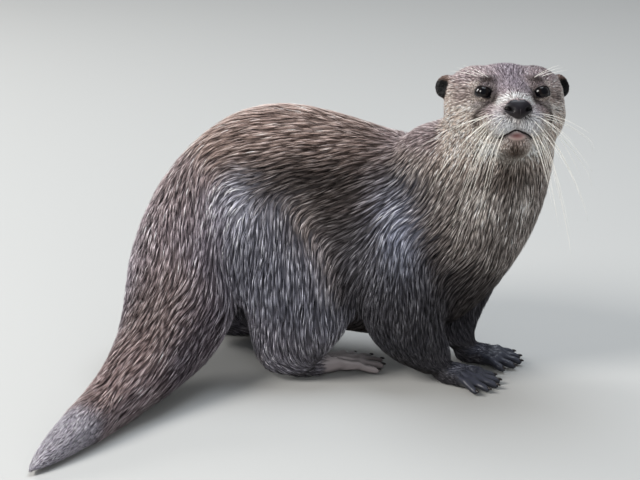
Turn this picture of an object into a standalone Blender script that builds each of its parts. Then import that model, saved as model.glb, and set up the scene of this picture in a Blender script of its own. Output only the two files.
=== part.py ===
"""Asian small-clawed otter, life size: a still model on four feet, back arched, head turned to its right.

Units are metres, +Z up. The otter walks towards +X, its left side is +Y, and it rests on the floor z = 0.
The body is modelled whole from tapering tubes and ellipsoids, fused and smoothed, and then parted by
thin cuts into the pieces that a person would name.
"""

import math

import bmesh
import bpy
from mathutils import Euler, Matrix, Vector

GAP = 0.0003  # clearance that each cut leaves between two pieces
VOXEL = 0.0016  # grain of the fused body
RING_POINTS = 28  # points round each tube
SPAN_STEPS = 5  # rings between two stations
SOLE_LEVEL = 0.0  # the floor; soles and tail are cut flat here

BODY_TRIANGLES = 5600  # triangles kept in the fused body
PIECE_KEEP = 0.72  # share of each cut piece's triangles that stays: the cuts leave many that lie flat
FINE_COST = 0.00004  # how strongly the thinning spares the paws and the head
THINNED_ABOVE = 160  # a piece with fewer faces than this stays as it was cut
SMOOTHING = 90  # passes that soften the creases where limbs meet the trunk
FINE_SOFTNESS = 0.12  # how strongly those passes work on the paws and the muzzle
HEAD_SOFTNESS = 0.45  # the same, on the rest of the head
FLAT_WITHIN = 0.0003  # points this near the floor lie on it

# Stations of the spine, tail tip to skull: x, y, z, half width, reach above, reach below
SPINE = [
    (-0.222, -0.272, 0.004, 0.003, 0.003, 0.003),
    (-0.213, -0.254, 0.008, 0.009, 0.008, 0.009),
    (-0.200, -0.228, 0.012, 0.015, 0.013, 0.014),
    (-0.184, -0.196, 0.017, 0.020, 0.017, 0.019),
    (-0.167, -0.160, 0.023, 0.025, 0.021, 0.025),
    (-0.145, -0.114, 0.037, 0.034, 0.029, 0.037),
    (-0.129, -0.064, 0.057, 0.045, 0.039, 0.052),
    (-0.114, -0.022, 0.093, 0.055, 0.050, 0.060),
    (-0.087, -0.002, 0.135, 0.062, 0.056, 0.071),
    (-0.044, 0.004, 0.153, 0.066, 0.072, 0.092),
    (0.005, 0.003, 0.140, 0.067, 0.078, 0.103),
    (0.050, -0.008, 0.123, 0.066, 0.084, 0.098),
    (0.092, -0.025, 0.126, 0.061, 0.082, 0.086),
    (0.123, -0.040, 0.148, 0.055, 0.068, 0.064),
    (0.141, -0.050, 0.180, 0.051, 0.058, 0.053),
    (0.149, -0.056, 0.212, 0.048, 0.052, 0.047),
    (0.151, -0.060, 0.235, 0.040, 0.038, 0.034),
]
NAPE = ((0.104, -0.038, 0.178), (0.046, 0.044, 0.044))  # the mane of flesh that fills the bend of the neck

# Legs, hip or shoulder to ankle: x, y, z, half width across the body, reach ahead, reach behind
HIND_RIGHT = [
    (-0.078, -0.028, 0.158, 0.022, 0.034, 0.034),
    (-0.052, -0.044, 0.128, 0.032, 0.056, 0.048),
    (-0.022, -0.055, 0.092, 0.033, 0.050, 0.054),
    (-0.014, -0.059, 0.064, 0.031, 0.043, 0.055),
    (-0.020, -0.059, 0.040, 0.026, 0.034, 0.046),
    (-0.024, -0.058, 0.022, 0.019, 0.024, 0.034),
    (-0.024, -0.057, 0.011, 0.014, 0.018, 0.024),
]
HIND_LEFT = [
    (-0.080, 0.028, 0.150, 0.022, 0.034, 0.034),
    (-0.062, 0.043, 0.120, 0.031, 0.052, 0.046),
    (-0.048, 0.053, 0.086, 0.032, 0.046, 0.050),
    (-0.058, 0.056, 0.058, 0.028, 0.038, 0.046),
    (-0.074, 0.056, 0.038, 0.024, 0.030, 0.036),
    (-0.085, 0.055, 0.022, 0.018, 0.022, 0.028),
    (-0.087, 0.054, 0.011, 0.014, 0.017, 0.021),
]
FORE_RIGHT = [
    (0.086, -0.050, 0.142, 0.024, 0.036, 0.038),
    (0.078, -0.062, 0.110, 0.030, 0.043, 0.044),
    (0.072, -0.068, 0.076, 0.029, 0.038, 0.040),
    (0.077, -0.069, 0.052, 0.025, 0.030, 0.036),
    (0.090, -0.067, 0.033, 0.018, 0.020, 0.026),
    (0.101, -0.064, 0.018, 0.015, 0.015, 0.017),
]
FORE_LEFT = [
    (0.106, -0.008, 0.140, 0.022, 0.034, 0.036),
    (0.122, 0.000, 0.106, 0.025, 0.036, 0.038),
    (0.129, 0.002, 0.076, 0.023, 0.029, 0.032),
    (0.125, -0.004, 0.052, 0.019, 0.021, 0.024),
    (0.121, -0.012, 0.033, 0.015, 0.016, 0.017),
    (0.122, -0.018, 0.018, 0.014, 0.014, 0.014),
]

# Feet: ankle point on the floor, heading in degrees from +X
FOREPAWS = {"right": ((0.101, -0.064), -26.0), "left": ((0.122, -0.016), -14.0)}
HIND_FEET = {"right": ((-0.022, -0.055), 22.0), "left": ((-0.088, 0.054), 8.0)}

# A forepaw and a hind foot in their own frames: sole length to the knuckles, half width, digit length
FORE_PALM, FORE_HALF, FORE_DIGIT = 0.030, 0.0145, 0.027
HIND_PALM, HIND_HALF, HIND_DIGIT = 0.055, 0.0140, 0.032
FOOT_HALF_HEIGHT = 0.0095
BALL_HALF_LENGTH, BALL_HALF_HEIGHT = 0.0125, 0.0072  # the pad behind the digits
WEB_LEVEL, WEB_HALF_HEIGHT = 0.0040, 0.0026  # the skin between the digits
DIGIT_RADIUS = 0.0040
DIGIT_REACH = (0.78, 0.96, 1.0, 0.97, 0.84)  # each digit's share of the longest, inner to outer
DIGIT_FAN = (-28.0, -13.0, 0.0, 13.0, 27.0)  # each digit's heading in the paw, in degrees
# Along a digit: share of its length, height above the floor, share of DIGIT_RADIUS
KNUCKLES = [
    (0.00, 0.0062, 1.00),
    (0.30, 0.0074, 1.02),
    (0.55, 0.0058, 0.86),
    (0.78, 0.0042, 0.92),
    (0.96, 0.0034, 0.72),
]

# The head, in its own frame: +X out of the nose, +Y its left, +Z its crown
HEAD_PLACE = (0.1515, -0.058, 0.241)
HEAD_TURN = (-0.6, -16.6, -86.0)  # roll, pitch and yaw, in degrees
EYE_PLACE, EYE_RADIUS = (0.0448, 0.0233, 0.0070), 0.0062
EAR_PLACE, EAR_SIZES = (-0.004, 0.0480, 0.0145), (0.0055, 0.0100, 0.0112)
EAR_TURN = 38.0  # how far each ear faces outward from straight ahead, in degrees
EAR_PITCH = -14.0  # how far it leans back, in degrees
EAR_CUP_AHEAD, EAR_CUP_SIZES = 0.0068, (0.0050, 0.0068, 0.0078)  # the hollow in its front
NOSE_PLACE, NOSE_SIZES = (0.0738, 0.0, -0.0080), (0.0060, 0.0118, 0.0078)
NOSE_PITCH = -12.0
NOSTRIL_PLACE, NOSTRIL_SIZES = (0.0785, 0.0058, -0.0095), (0.0034, 0.0023, 0.0017)
NOSTRIL_TURN = 20.0  # how far each nostril's channel turns outward, in degrees

# Ellipsoids of the head: centre, half sizes, pitch in degrees. One off the middle is mirrored.
HEAD_FORMS = [
    ((-0.002, 0.0000, 0.0040), (0.0450, 0.0360, 0.0300), 0),  # braincase
    ((-0.002, 0.0235, 0.0030), (0.0400, 0.0265, 0.0290), 0),  # its side, with the crown's flat edge
    ((0.003, 0.0270, -0.0090), (0.0360, 0.0235, 0.0270), 0),  # cheek
    ((0.014, 0.0180, -0.0270), (0.0300, 0.0225, 0.0210), -6),  # jaw muscle
    ((0.018, 0.0190, 0.0030), (0.0300, 0.0190, 0.0215), 10),  # temple down to the eye
    ((0.034, 0.0000, 0.0020), (0.0350, 0.0205, 0.0185), 18),  # brow and nose bridge
    ((0.034, 0.0190, 0.0140), (0.0150, 0.0115, 0.0085), 20),  # brow ridge
    ((0.032, 0.0210, -0.0120), (0.0250, 0.0150, 0.0160), 0),  # cheek bone under the eye
    ((0.048, 0.0000, -0.0140), (0.0260, 0.0225, 0.0160), 6),  # muzzle core
    ((0.056, 0.0108, -0.0195), (0.0165, 0.0135, 0.0125), 0),  # whisker pad
    ((0.044, 0.0000, -0.0365), (0.0230, 0.0165, 0.0120), -8),  # chin
]

MUZZLE_FROM = 0.038  # where the muzzle starts, in the head's frame
HEAD_REACH = 0.058  # how far the head reaches from its middle
TAIL_LEFT_OF = -0.085  # y that parts the paws from the tail where both are low

# The line between the lips, from corner to corner, in the head's frame
LIPS = [
    (0.052, 0.0200, -0.0340),
    (0.064, 0.0120, -0.0300),
    (0.070, 0.0, -0.0270),
    (0.064, -0.0120, -0.0300),
    (0.052, -0.0200, -0.0340),
]
LIP_DEPTH = 0.0013

# Cuts across the spine, tail to neck: the name behind the cut, a point on it, its normal to the head
SPINE_CUTS = [
    ("tail_tip", (-0.190, -0.196, 0.019), (0.40, 0.91, 0.10)),
    ("tail_middle", (-0.149, -0.114, 0.037), (0.42, 0.88, 0.22)),
    ("tail_base", (-0.125, -0.048, 0.068), (0.34, 0.74, 0.58)),
    ("rump", (-0.078, 0.000, 0.140), (0.90, 0.22, 0.38)),
    ("belly", (0.034, 0.000, 0.130), (0.97, -0.16, -0.18)),
    ("chest", (0.116, -0.036, 0.150), (0.62, -0.25, 0.74)),
]
HEAD_CUT = ((0.0, 0.0, -0.0470), (0.20, 0.0, 0.98))  # in the head's frame

# Cuts across the legs, near these heights above the floor
KNEE_LEVEL, ELBOW_LEVEL, ANKLE_LEVEL = 0.075, 0.062, 0.0215
LEG_CUT_TILT = (0.22, -0.20, 0.95)  # normal of the cut at knee and elbow, off the level
FOOT_CUT_PITCH = 9.0  # slope of the cut at the ankle, in degrees: higher at the heel
FOOT_CUT_HALF = 0.0245  # half width of the block that takes in a foot
HIND_HEEL, FORE_HEEL = 0.036, 0.024  # how far that block reaches behind the ankle
TOE_ROOM = 0.012  # how far it reaches past the toes
LEG_MARGIN = 0.004  # how far a leg's cutter stands off the leg

COLOURS = {
    "head": (0.27, 0.23, 0.19),
    "neck": (0.30, 0.26, 0.21),
    "chest": (0.16, 0.13, 0.11),
    "ear": (0.08, 0.06, 0.05),
    "nose": (0.030, 0.024, 0.025),
    "eye": (0.008, 0.007, 0.007),
    "forepaw": (0.035, 0.032, 0.034),
    "foot": (0.050, 0.046, 0.048),
    "tail": (0.17, 0.13, 0.11),
}
FUR_BROWN = (0.13, 0.10, 0.085)
GLOSSY = {"eye": 0.06, "nose": 0.35}
FUR_ROUGHNESS = 0.65


def clear_scene():
    for thing in list(bpy.data.objects):
        bpy.data.objects.remove(thing)


def material(name, colour, roughness):
    made = bpy.data.materials.new(name)
    made.use_nodes = True
    shader = made.node_tree.nodes["Principled BSDF"]
    shader.inputs["Base Color"].default_value = (*colour, 1.0)
    shader.inputs["Roughness"].default_value = roughness
    return made


def add_object(name, mesh):
    made = bpy.data.objects.new(name, mesh)
    bpy.context.scene.collection.objects.link(made)
    return made


def catmull_rom(before, start, end, after, t):
    return (
        (2 * start)
        + (end - before) * t
        + (2 * before - 5 * start + 4 * end - after) * t * t
        + (3 * start - before - 3 * end + after) * t**3
    ) / 2


def eased(stations, steps):
    """The stations with more rings on a smooth curve between each two."""
    last = len(stations) - 1
    rings = []
    for i in range(last):
        four = [stations[max(0, min(last, i + k))] for k in (-1, 0, 1, 2)]
        for step in range(steps):
            t = step / steps
            rings.append([catmull_rom(*values, t) for values in zip(*four)])
    rings.append(list(stations[last]))
    return rings


def tube(bm, stations, across, start, steps=SPAN_STEPS, sides=RING_POINTS):
    """A closed tube through elliptical stations. At ring number start, its sides face along across."""
    rings = eased(stations, steps)
    centres = [Vector(ring[:3]) for ring in rings]
    last = len(rings) - 1
    tangents = []
    for i in range(last + 1):
        tangents.append((centres[min(last, i + 1)] - centres[max(0, i - 1)]).normalized())
    across = Vector(across)
    across_ring = [None] * (last + 1)
    across_ring[start] = (across - tangents[start] * tangents[start].dot(across)).normalized()
    for i in range(start, last):
        across_ring[i + 1] = tangents[i].rotation_difference(tangents[i + 1]) @ across_ring[i]
    for i in range(start, 0, -1):
        across_ring[i - 1] = tangents[i].rotation_difference(tangents[i - 1]) @ across_ring[i]
    loops = []
    for ring, centre, tangent, side in zip(rings, centres, tangents, across_ring):
        half_width, above, below = (max(0.001, size) for size in ring[3:])
        up = tangent.cross(side)
        points = []
        for k in range(sides):
            turn = math.tau * k / sides
            reach = above if math.sin(turn) > 0 else below
            points.append(centre + side * (math.cos(turn) * half_width) + up * (math.sin(turn) * reach))
        loops.append([bm.verts.new(point) for point in points])
    for first, second in zip(loops, loops[1:]):
        for k in range(sides):
            nearby = (k + 1) % sides
            bm.faces.new((first[k], first[nearby], second[nearby], second[k]))
    for end, outward in ((0, -tangents[0]), (-1, tangents[-1])):
        loop, centre = loops[end], centres[end]
        tip = bm.verts.new(centre + outward * (loop[0].co - centre).length * 0.6)
        for k in range(sides):
            bm.faces.new((loop[k], loop[(k + 1) % sides], tip))


def ellipsoid(bm, placing, centre, half_sizes, pitch=0.0, yaw=0.0, detail=3):
    turn = Euler((0, math.radians(pitch), math.radians(yaw))).to_matrix().to_4x4()
    shape = placing @ Matrix.Translation(centre) @ turn @ Matrix.Diagonal((*half_sizes, 1.0))
    bmesh.ops.create_icosphere(bm, subdivisions=detail, radius=1.0, matrix=shape)


def head_matrix():
    roll, pitch, yaw = (math.radians(angle) for angle in HEAD_TURN)
    turn = Matrix.Rotation(yaw, 4, "Z") @ Matrix.Rotation(pitch, 4, "Y") @ Matrix.Rotation(roll, 4, "X")
    return Matrix.Translation(HEAD_PLACE) @ turn


def foot_matrix(place, heading):
    return Matrix.Translation((*place, SOLE_LEVEL)) @ Matrix.Rotation(math.radians(heading), 4, "Z")


def add_head(bm):
    placing = head_matrix()
    for (x, y, z), half_sizes, pitch in HEAD_FORMS:
        for side in (1, -1) if y else (1,):
            ellipsoid(bm, placing, (x, side * y, z), half_sizes, pitch)


def add_foot(bm, placing, palm, half_width, digit, inner_side):
    """A flat foot with five splayed digits. inner_side is +1 where the first digit is at +Y."""
    middle, ball = Vector((palm * 0.45, 0, 0.0085)), Vector((palm * 0.86, 0, 0.0065))
    ellipsoid(bm, placing, middle, (palm * 0.62, half_width * 0.92, FOOT_HALF_HEIGHT))
    ellipsoid(bm, placing, ball, (BALL_HALF_LENGTH, half_width * 1.08, BALL_HALF_HEIGHT))
    for k, (share, fan) in enumerate(zip(DIGIT_REACH, DIGIT_FAN)):
        across = half_width * 0.82 * (2 - k) / 2 * inner_side
        angle = -math.radians(fan) * inner_side
        heading = Vector((math.cos(angle), math.sin(angle), 0))
        root = Vector((palm * (0.90 - 0.10 * abs(k - 2) / 2), across, 0))
        stations = []
        for along, height, girth in KNUCKLES:
            centre = placing @ (root + heading * (digit * share * along) + Vector((0, 0, height)))
            radius = DIGIT_RADIUS * girth
            stations.append((*centre, radius, radius, radius))
        tube(bm, stations, placing.to_3x3() @ Vector((-heading.y, heading.x, 0)), 0)
    web = Vector((palm * 1.02, 0, WEB_LEVEL))
    ellipsoid(bm, placing, web, (digit * 0.34, half_width * 0.95, WEB_HALF_HEIGHT))


def cut_below(bm, level):
    """Removes what lies under a level and closes the cut with flat faces."""
    everything = bm.verts[:] + bm.edges[:] + bm.faces[:]
    cut = bmesh.ops.bisect_plane(
        bm, geom=everything, plane_co=(0, 0, level), plane_no=(0, 0, 1), clear_inner=True, dist=1e-6
    )
    edges = [part for part in cut["geom_cut"] if isinstance(part, bmesh.types.BMEdge)]
    bmesh.ops.holes_fill(bm, edges=edges, sides=0)


def evaluated(thing):
    """A new mesh of an object with its modifiers applied. The object is removed."""
    graph = bpy.context.evaluated_depsgraph_get()
    mesh = bpy.data.meshes.new_from_object(thing.evaluated_get(graph))
    bpy.data.objects.remove(thing)
    return mesh


def softness(point, to_head):
    """How strongly the smoothing works at a point: least where the forms are small."""
    on_paw = point.z < ANKLE_LEVEL and point.y > TAIL_LEFT_OF
    in_head = to_head @ point
    on_muzzle = in_head.x > MUZZLE_FROM and in_head.z > -HEAD_REACH
    if on_paw or on_muzzle:
        return FINE_SOFTNESS
    return HEAD_SOFTNESS if in_head.length < HEAD_REACH else 1.0


def whole_body():
    """The flesh of the whole otter as one closed mesh object."""
    bm = bmesh.new()
    middle = (len(SPINE) // 2) * SPAN_STEPS
    tube(bm, SPINE, (0, 1, 0), middle)
    ellipsoid(bm, Matrix(), *NAPE)
    for leg in (HIND_RIGHT, HIND_LEFT, FORE_RIGHT, FORE_LEFT):
        tube(bm, leg, (0, 1, 0), 0)
    add_head(bm)
    for side, inner in (("right", 1), ("left", -1)):
        add_foot(bm, foot_matrix(*FOREPAWS[side]), FORE_PALM, FORE_HALF, FORE_DIGIT, inner)
        add_foot(bm, foot_matrix(*HIND_FEET[side]), HIND_PALM, HIND_HALF, HIND_DIGIT, inner)
    bmesh.ops.recalc_face_normals(bm, faces=bm.faces[:])
    fused = add_object("body", mesh_of(bm, "body"))
    grain = fused.modifiers.new("Fuse", "REMESH")
    grain.mode = "VOXEL"
    grain.voxel_size = VOXEL
    mesh = evaluated(fused)

    fused = add_object("body", mesh)
    soft = fused.vertex_groups.new(name="soft")
    coarse = fused.vertex_groups.new(name="coarse")
    to_head = head_matrix().inverted()
    for vertex in mesh.vertices:
        strength = softness(vertex.co, to_head)
        soft.add([vertex.index], strength, "REPLACE")
        coarse.add([vertex.index], max(0.1, strength), "REPLACE")
    ease = fused.modifiers.new("Soften", "SMOOTH")
    ease.factor = 0.5
    ease.iterations = SMOOTHING
    ease.vertex_group = soft.name
    thin = fused.modifiers.new("Thin", "DECIMATE")
    thin.ratio = BODY_TRIANGLES / (2 * len(mesh.polygons))
    thin.vertex_group = coarse.name
    thin.vertex_group_factor = FINE_COST
    mesh = evaluated(fused)

    bm = bmesh.new()
    bm.from_mesh(mesh)
    bmesh.ops.triangulate(bm, faces=bm.faces[:])
    cut_below(bm, SOLE_LEVEL)
    return add_object("body", mesh_of(bm, "body"))


def mesh_of(bm, name):
    """The bmesh as a new mesh. The bmesh is freed."""
    mesh = bpy.data.meshes.new(name)
    bm.to_mesh(mesh)
    bm.free()
    return mesh


def largest_body(mesh):
    """Leaves only the largest of the mesh's connected bodies, so that no crumb stays behind a cut."""
    bm = bmesh.new()
    bm.from_mesh(mesh)
    seen = set()
    bodies = []
    for start in bm.verts:
        if start in seen:
            continue
        seen.add(start)
        body = [start]
        for vertex in body:
            for edge in vertex.link_edges:
                other = edge.other_vert(vertex)
                if other not in seen:
                    seen.add(other)
                    body.append(other)
        bodies.append(body)
    bodies.sort(key=len)
    for crumb in bodies[:-1]:
        bmesh.ops.delete(bm, geom=crumb, context="VERTS")
    bm.to_mesh(mesh)
    bm.free()


def boolean(name, base, cutter, operation):
    """A new object: base cut by cutter or kept within it. Both stay as they are."""
    made = add_object(name, base.data.copy())
    step = made.modifiers.new("Cut", "BOOLEAN")
    step.operation = operation
    step.solver = "EXACT"
    step.object = cutter
    bpy.context.view_layer.update()
    mesh = evaluated(made)
    largest_body(mesh)
    return add_object(name, mesh)


def helper(name, bm):
    """A cutter: a closed form that is no part of the otter."""
    bmesh.ops.recalc_face_normals(bm, faces=bm.faces[:])
    made = add_object(name, mesh_of(bm, name))
    made.hide_render = True
    made.display_type = "WIRE"
    return made


def half_space(point, normal, offset):
    """A large block whose bottom face lies on the plane through point, moved along normal by offset."""
    normal = Vector(normal).normalized()
    turn = normal.to_track_quat("Z", "Y").to_matrix().to_4x4()
    size = 1.2
    placing = Matrix.Translation(Vector(point) + normal * (offset + size / 2)) @ turn
    bm = bmesh.new()
    bmesh.ops.create_cube(bm, size=size, matrix=placing)
    return helper("block", bm)


def split(base, ahead_name, behind_name, point, normal):
    """The two objects on either side of a thin cut. The base is removed."""
    pieces = []
    sides = ((ahead_name, GAP / 2, "INTERSECT"), (behind_name, -GAP / 2, "DIFFERENCE"))
    for name, offset, operation in sides:
        block = half_space(point, normal, offset)
        pieces.append(boolean(name, base, block, operation))
        bpy.data.objects.remove(block)
    bpy.data.objects.remove(base)
    return pieces


def part_from(base, name, shape):
    """Parts the piece of base that lies within the closed form that shape(growth) builds.

    The base is removed.
    """
    within = shape(0.0)
    around = shape(GAP)
    piece = boolean(name, base, within, "INTERSECT")
    rest = boolean(base.name, base, around, "DIFFERENCE")
    for thing in (within, around, base):
        bpy.data.objects.remove(thing)
    return piece, rest


def seat(base, shape):
    """Cuts room out of base for a separate piece, whose form shape(growth) builds. The base is removed."""
    around = shape(GAP)
    rest = boolean(base.name, base, around, "DIFFERENCE")
    for thing in (around, base):
        bpy.data.objects.remove(thing)
    return rest


def leg_form(stations):
    """The convex form that takes in a leg down to the floor."""

    def build(growth):
        grown = [(x, y, z, *(size + LEG_MARGIN + growth for size in sizes)) for x, y, z, *sizes in stations]
        low = list(grown[-1])
        low[2] = -0.010
        bm = bmesh.new()
        tube(bm, [*grown, low], (0, 1, 0), 0, steps=1, sides=8)
        bmesh.ops.delete(bm, geom=bm.faces[:] + bm.edges[:], context="EDGES_FACES")
        hull = bmesh.ops.convex_hull(bm, input=bm.verts[:])
        loose = [part for part in hull["geom_interior"] if isinstance(part, bmesh.types.BMVert)]
        bmesh.ops.delete(bm, geom=loose, context="VERTS")
        return helper("leg_form", bm)

    return build


def foot_form(placing, heel, length):
    """A low block round a foot, from behind the heel to past the toes, up to the ankle."""

    def build(growth):
        front = length + TOE_ROOM
        height = ANKLE_LEVEL + 0.02
        pitch = Matrix.Rotation(math.radians(FOOT_CUT_PITCH), 4, "Y")
        middle = Matrix.Translation(((front - heel) / 2, 0, -height / 2))
        sides = (front + heel, 2 * FOOT_CUT_HALF, height)
        size = Matrix.Diagonal((*(side + 2 * growth for side in sides), 1))
        bm = bmesh.new()
        matrix = placing @ Matrix.Translation((0, 0, ANKLE_LEVEL)) @ pitch @ middle @ size
        bmesh.ops.create_cube(bm, size=1.0, matrix=matrix)
        return helper("foot_form", bm)

    return build


def eye_form(side):
    x, y, z = EYE_PLACE

    def build(growth):
        bm = bmesh.new()
        radius = EYE_RADIUS + growth
        ellipsoid(bm, head_matrix(), (x, side * y, z), (radius, radius, radius), detail=2)
        return helper("eye_form", bm)

    return build


def nose_form(growth):
    bm = bmesh.new()
    sizes = [size + growth for size in NOSE_SIZES]
    ellipsoid(bm, head_matrix(), NOSE_PLACE, sizes, pitch=NOSE_PITCH, detail=2)
    return helper("nose_form", bm)


def ear_form(side):
    x, y, z = EAR_PLACE

    def build(growth):
        bm = bmesh.new()
        sizes = [size + growth for size in EAR_SIZES]
        place = (x, side * y, z)
        ellipsoid(bm, head_matrix(), place, sizes, pitch=EAR_PITCH, yaw=side * EAR_TURN, detail=2)
        return helper("ear_form", bm)

    return build


def ear_hollow(side):
    """The cup of the ear, opening ahead and outward."""
    x, y, z = EAR_PLACE
    turn = math.radians(EAR_TURN)
    ahead = Vector((math.cos(turn), side * math.sin(turn), 0.12)) * EAR_CUP_AHEAD
    place = Vector((x, side * y, z)) + ahead
    bm = bmesh.new()
    ellipsoid(bm, head_matrix(), place, EAR_CUP_SIZES, pitch=EAR_PITCH, yaw=side * EAR_TURN, detail=2)
    return helper("ear_hollow", bm)


def nostril(side):
    x, y, z = NOSTRIL_PLACE
    bm = bmesh.new()
    ellipsoid(bm, head_matrix(), (x, side * y, z), NOSTRIL_SIZES, yaw=side * NOSTRIL_TURN, detail=1)
    return helper("nostril", bm)


def lip_line():
    bm = bmesh.new()
    placing = head_matrix()
    stations = [(*(placing @ Vector(point)), LIP_DEPTH, LIP_DEPTH, LIP_DEPTH) for point in LIPS]
    tube(bm, stations, placing.to_3x3() @ Vector((0, 0, 1)), 0, steps=3, sides=6)
    return helper("lip_line", bm)


def hollowed(base, cutter):
    """The base with a cutter taken out of it. Both are removed."""
    made = boolean(base.name, base, cutter, "DIFFERENCE")
    bpy.data.objects.remove(base)
    bpy.data.objects.remove(cutter)
    return made


def thin_out(piece):
    """Merges a cut piece's flat triangles in place."""
    thin = piece.modifiers.new("Thin", "DECIMATE")
    thin.ratio = PIECE_KEEP
    graph = bpy.context.evaluated_depsgraph_get()
    mesh = bpy.data.meshes.new_from_object(piece.evaluated_get(graph))
    piece.modifiers.clear()
    piece.data = mesh


def visible(thing, name):
    thing.name = name
    thing.hide_render = False
    thing.display_type = "TEXTURED"
    return thing


def part_legs(body, nodes):
    hind = (HIND_FEET, HIND_HEEL, HIND_PALM + HIND_DIGIT, KNEE_LEVEL, ("hind_foot", "shank", "thigh"))
    fore = (FOREPAWS, FORE_HEEL, FORE_PALM + FORE_DIGIT, ELBOW_LEVEL, ("forepaw", "forearm", "upper_arm"))
    legs = [
        (HIND_RIGHT, "right", hind),
        (HIND_LEFT, "left", hind),
        (FORE_RIGHT, "right", fore),
        (FORE_LEFT, "left", fore),
    ]
    for stations, side, (places, heel, length, joint_level, (foot, lower, upper)) in legs:
        paw, body = part_from(body, f"{foot}_{side}", foot_form(foot_matrix(*places[side]), heel, length))
        leg, body = part_from(body, "leg", leg_form(stations))
        joint = min(stations, key=lambda station: abs(station[2] - joint_level))[:3]
        top, bottom = split(leg, f"{upper}_{side}", f"{lower}_{side}", joint, LEG_CUT_TILT)
        nodes += [paw, top, bottom]
    return body


def part_spine(body, nodes):
    """Parts tail and trunk, and leaves the neck with the head."""
    for name, point, normal in SPINE_CUTS:
        body, behind = split(body, "body", name, point, normal)
        nodes.append(behind)
    return body


def part_head(body, nodes):
    placing = head_matrix()
    point, normal = (Vector(values) for values in HEAD_CUT)
    head, neck = split(body, "head", "neck", placing @ point, placing.to_3x3() @ normal)
    nodes.append(neck)
    head = hollowed(head, lip_line())
    for side, word in ((1, "left"), (-1, "right")):
        head = seat(head, eye_form(side))
        nodes.append(visible(eye_form(side)(0.0), f"eye_{word}"))
        head = seat(head, ear_form(side))
        nodes.append(visible(hollowed(ear_form(side)(0.0), ear_hollow(side)), f"ear_{word}"))
    head = seat(head, nose_form)
    nose = nose_form(0.0)
    for side in (1, -1):
        nose = hollowed(nose, nostril(side))
    nodes.append(visible(nose, "nose"))
    nodes.append(visible(head, "head"))


def main():
    clear_scene()
    body = whole_body()
    nodes = []
    body = part_legs(body, nodes)
    body = part_spine(body, nodes)
    part_head(body, nodes)
    for node in nodes:
        if len(node.data.polygons) > THINNED_ABOVE:
            thin_out(node)
        kind = next((word for word in COLOURS if word in node.name.split("_")), "")
        colour = COLOURS.get(kind, FUR_BROWN)
        node.data.materials.clear()
        node.data.materials.append(material(node.name, colour, GLOSSY.get(kind, FUR_ROUGHNESS)))

    corners = [vertex.co for node in nodes for vertex in node.data.vertices]
    for corner in corners:
        if corner.z < FLAT_WITHIN:
            corner.z = SOLE_LEVEL
    middle = [(min(point[k] for point in corners) + max(point[k] for point in corners)) / 2 for k in (0, 1)]
    for node in nodes:
        node.data.transform(Matrix.Translation((-middle[0], -middle[1], 0)))


main()
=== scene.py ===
"""Looks of a life-size Asian small-clawed otter: one skin, its coat as solid tufts, and the face.

Units are metres in the frame's own axes: +X the way the otter walks, +Y its left, +Z up.
"""

import math

import bmesh
import bpy
import numpy as np
from mathutils import Matrix, Vector
from mathutils.bvhtree import BVHTree


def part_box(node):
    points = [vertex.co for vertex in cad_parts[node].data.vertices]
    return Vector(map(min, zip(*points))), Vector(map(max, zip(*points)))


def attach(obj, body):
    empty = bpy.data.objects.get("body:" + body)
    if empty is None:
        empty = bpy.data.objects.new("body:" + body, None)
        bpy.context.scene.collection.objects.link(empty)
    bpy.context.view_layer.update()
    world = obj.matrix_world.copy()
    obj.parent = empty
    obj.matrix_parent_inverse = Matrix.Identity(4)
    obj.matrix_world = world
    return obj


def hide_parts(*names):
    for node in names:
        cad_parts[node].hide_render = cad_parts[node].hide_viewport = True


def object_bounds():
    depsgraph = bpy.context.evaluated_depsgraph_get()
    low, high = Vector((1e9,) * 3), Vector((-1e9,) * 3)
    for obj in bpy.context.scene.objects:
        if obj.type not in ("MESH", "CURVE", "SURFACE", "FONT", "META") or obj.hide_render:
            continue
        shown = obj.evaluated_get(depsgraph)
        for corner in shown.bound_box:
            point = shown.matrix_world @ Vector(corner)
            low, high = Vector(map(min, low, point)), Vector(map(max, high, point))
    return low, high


SEED = 20  # of every random draw
SKIN_VOXEL = 0.0011  # grain of the skin before it is thinned
SKIN_TRIANGLES = 112000  # after thinning, before the face's are split finer
SEAL = 0.0002  # growth that closes the thin cuts between the CAD nodes

# Eyes and nose in the head's frame: +X out of the nose, +Y its left, +Z its crown
EYE_AHEAD, EYE_ASIDE, EYE_ABOVE = 0.0448, 0.0233, 0.0070
EYE_RADIUS = 0.0070  # of the shown eyeball
EYE_SINK = 0.0008  # how far the shown eyeball's middle lies behind the CAD eye's
EYE_DROP = 0.0014  # how far the shown eyeball lies below the CAD eye
NOSE_PAST_EYES, NOSE_BELOW_EYES = 0.0290, 0.0150  # only their ratio is used, for the head's slope

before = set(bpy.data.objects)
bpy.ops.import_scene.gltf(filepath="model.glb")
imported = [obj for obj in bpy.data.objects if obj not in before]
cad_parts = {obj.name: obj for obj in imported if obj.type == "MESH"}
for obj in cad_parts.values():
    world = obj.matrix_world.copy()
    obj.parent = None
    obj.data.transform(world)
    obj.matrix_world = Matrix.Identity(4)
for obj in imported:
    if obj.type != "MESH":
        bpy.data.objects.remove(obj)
CAD_LOW, CAD_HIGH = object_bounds()
RANDOM = np.random.default_rng(SEED)

SIDES = (("left", 1), ("right", -1))
LIMBS = [part + side for part in ("upper_arm_", "forearm_", "forepaw_", "thigh_", "shank_", "hind_foot_")
         for side in ("left", "right")]
TRUNK = ["tail_tip", "tail_middle", "tail_base", "rump", "belly", "chest", "neck", "head"]
FLESH = [*TRUNK, *LIMBS, "ear_left", "ear_right"]


# ---------------------------------------------------------------- places read from the frame

def centre(node):
    low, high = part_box(node)
    return np.array((low + high) / 2)


def unit(vectors):
    return vectors / np.maximum(np.linalg.norm(vectors, axis=-1, keepdims=True), 1e-12)


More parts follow.
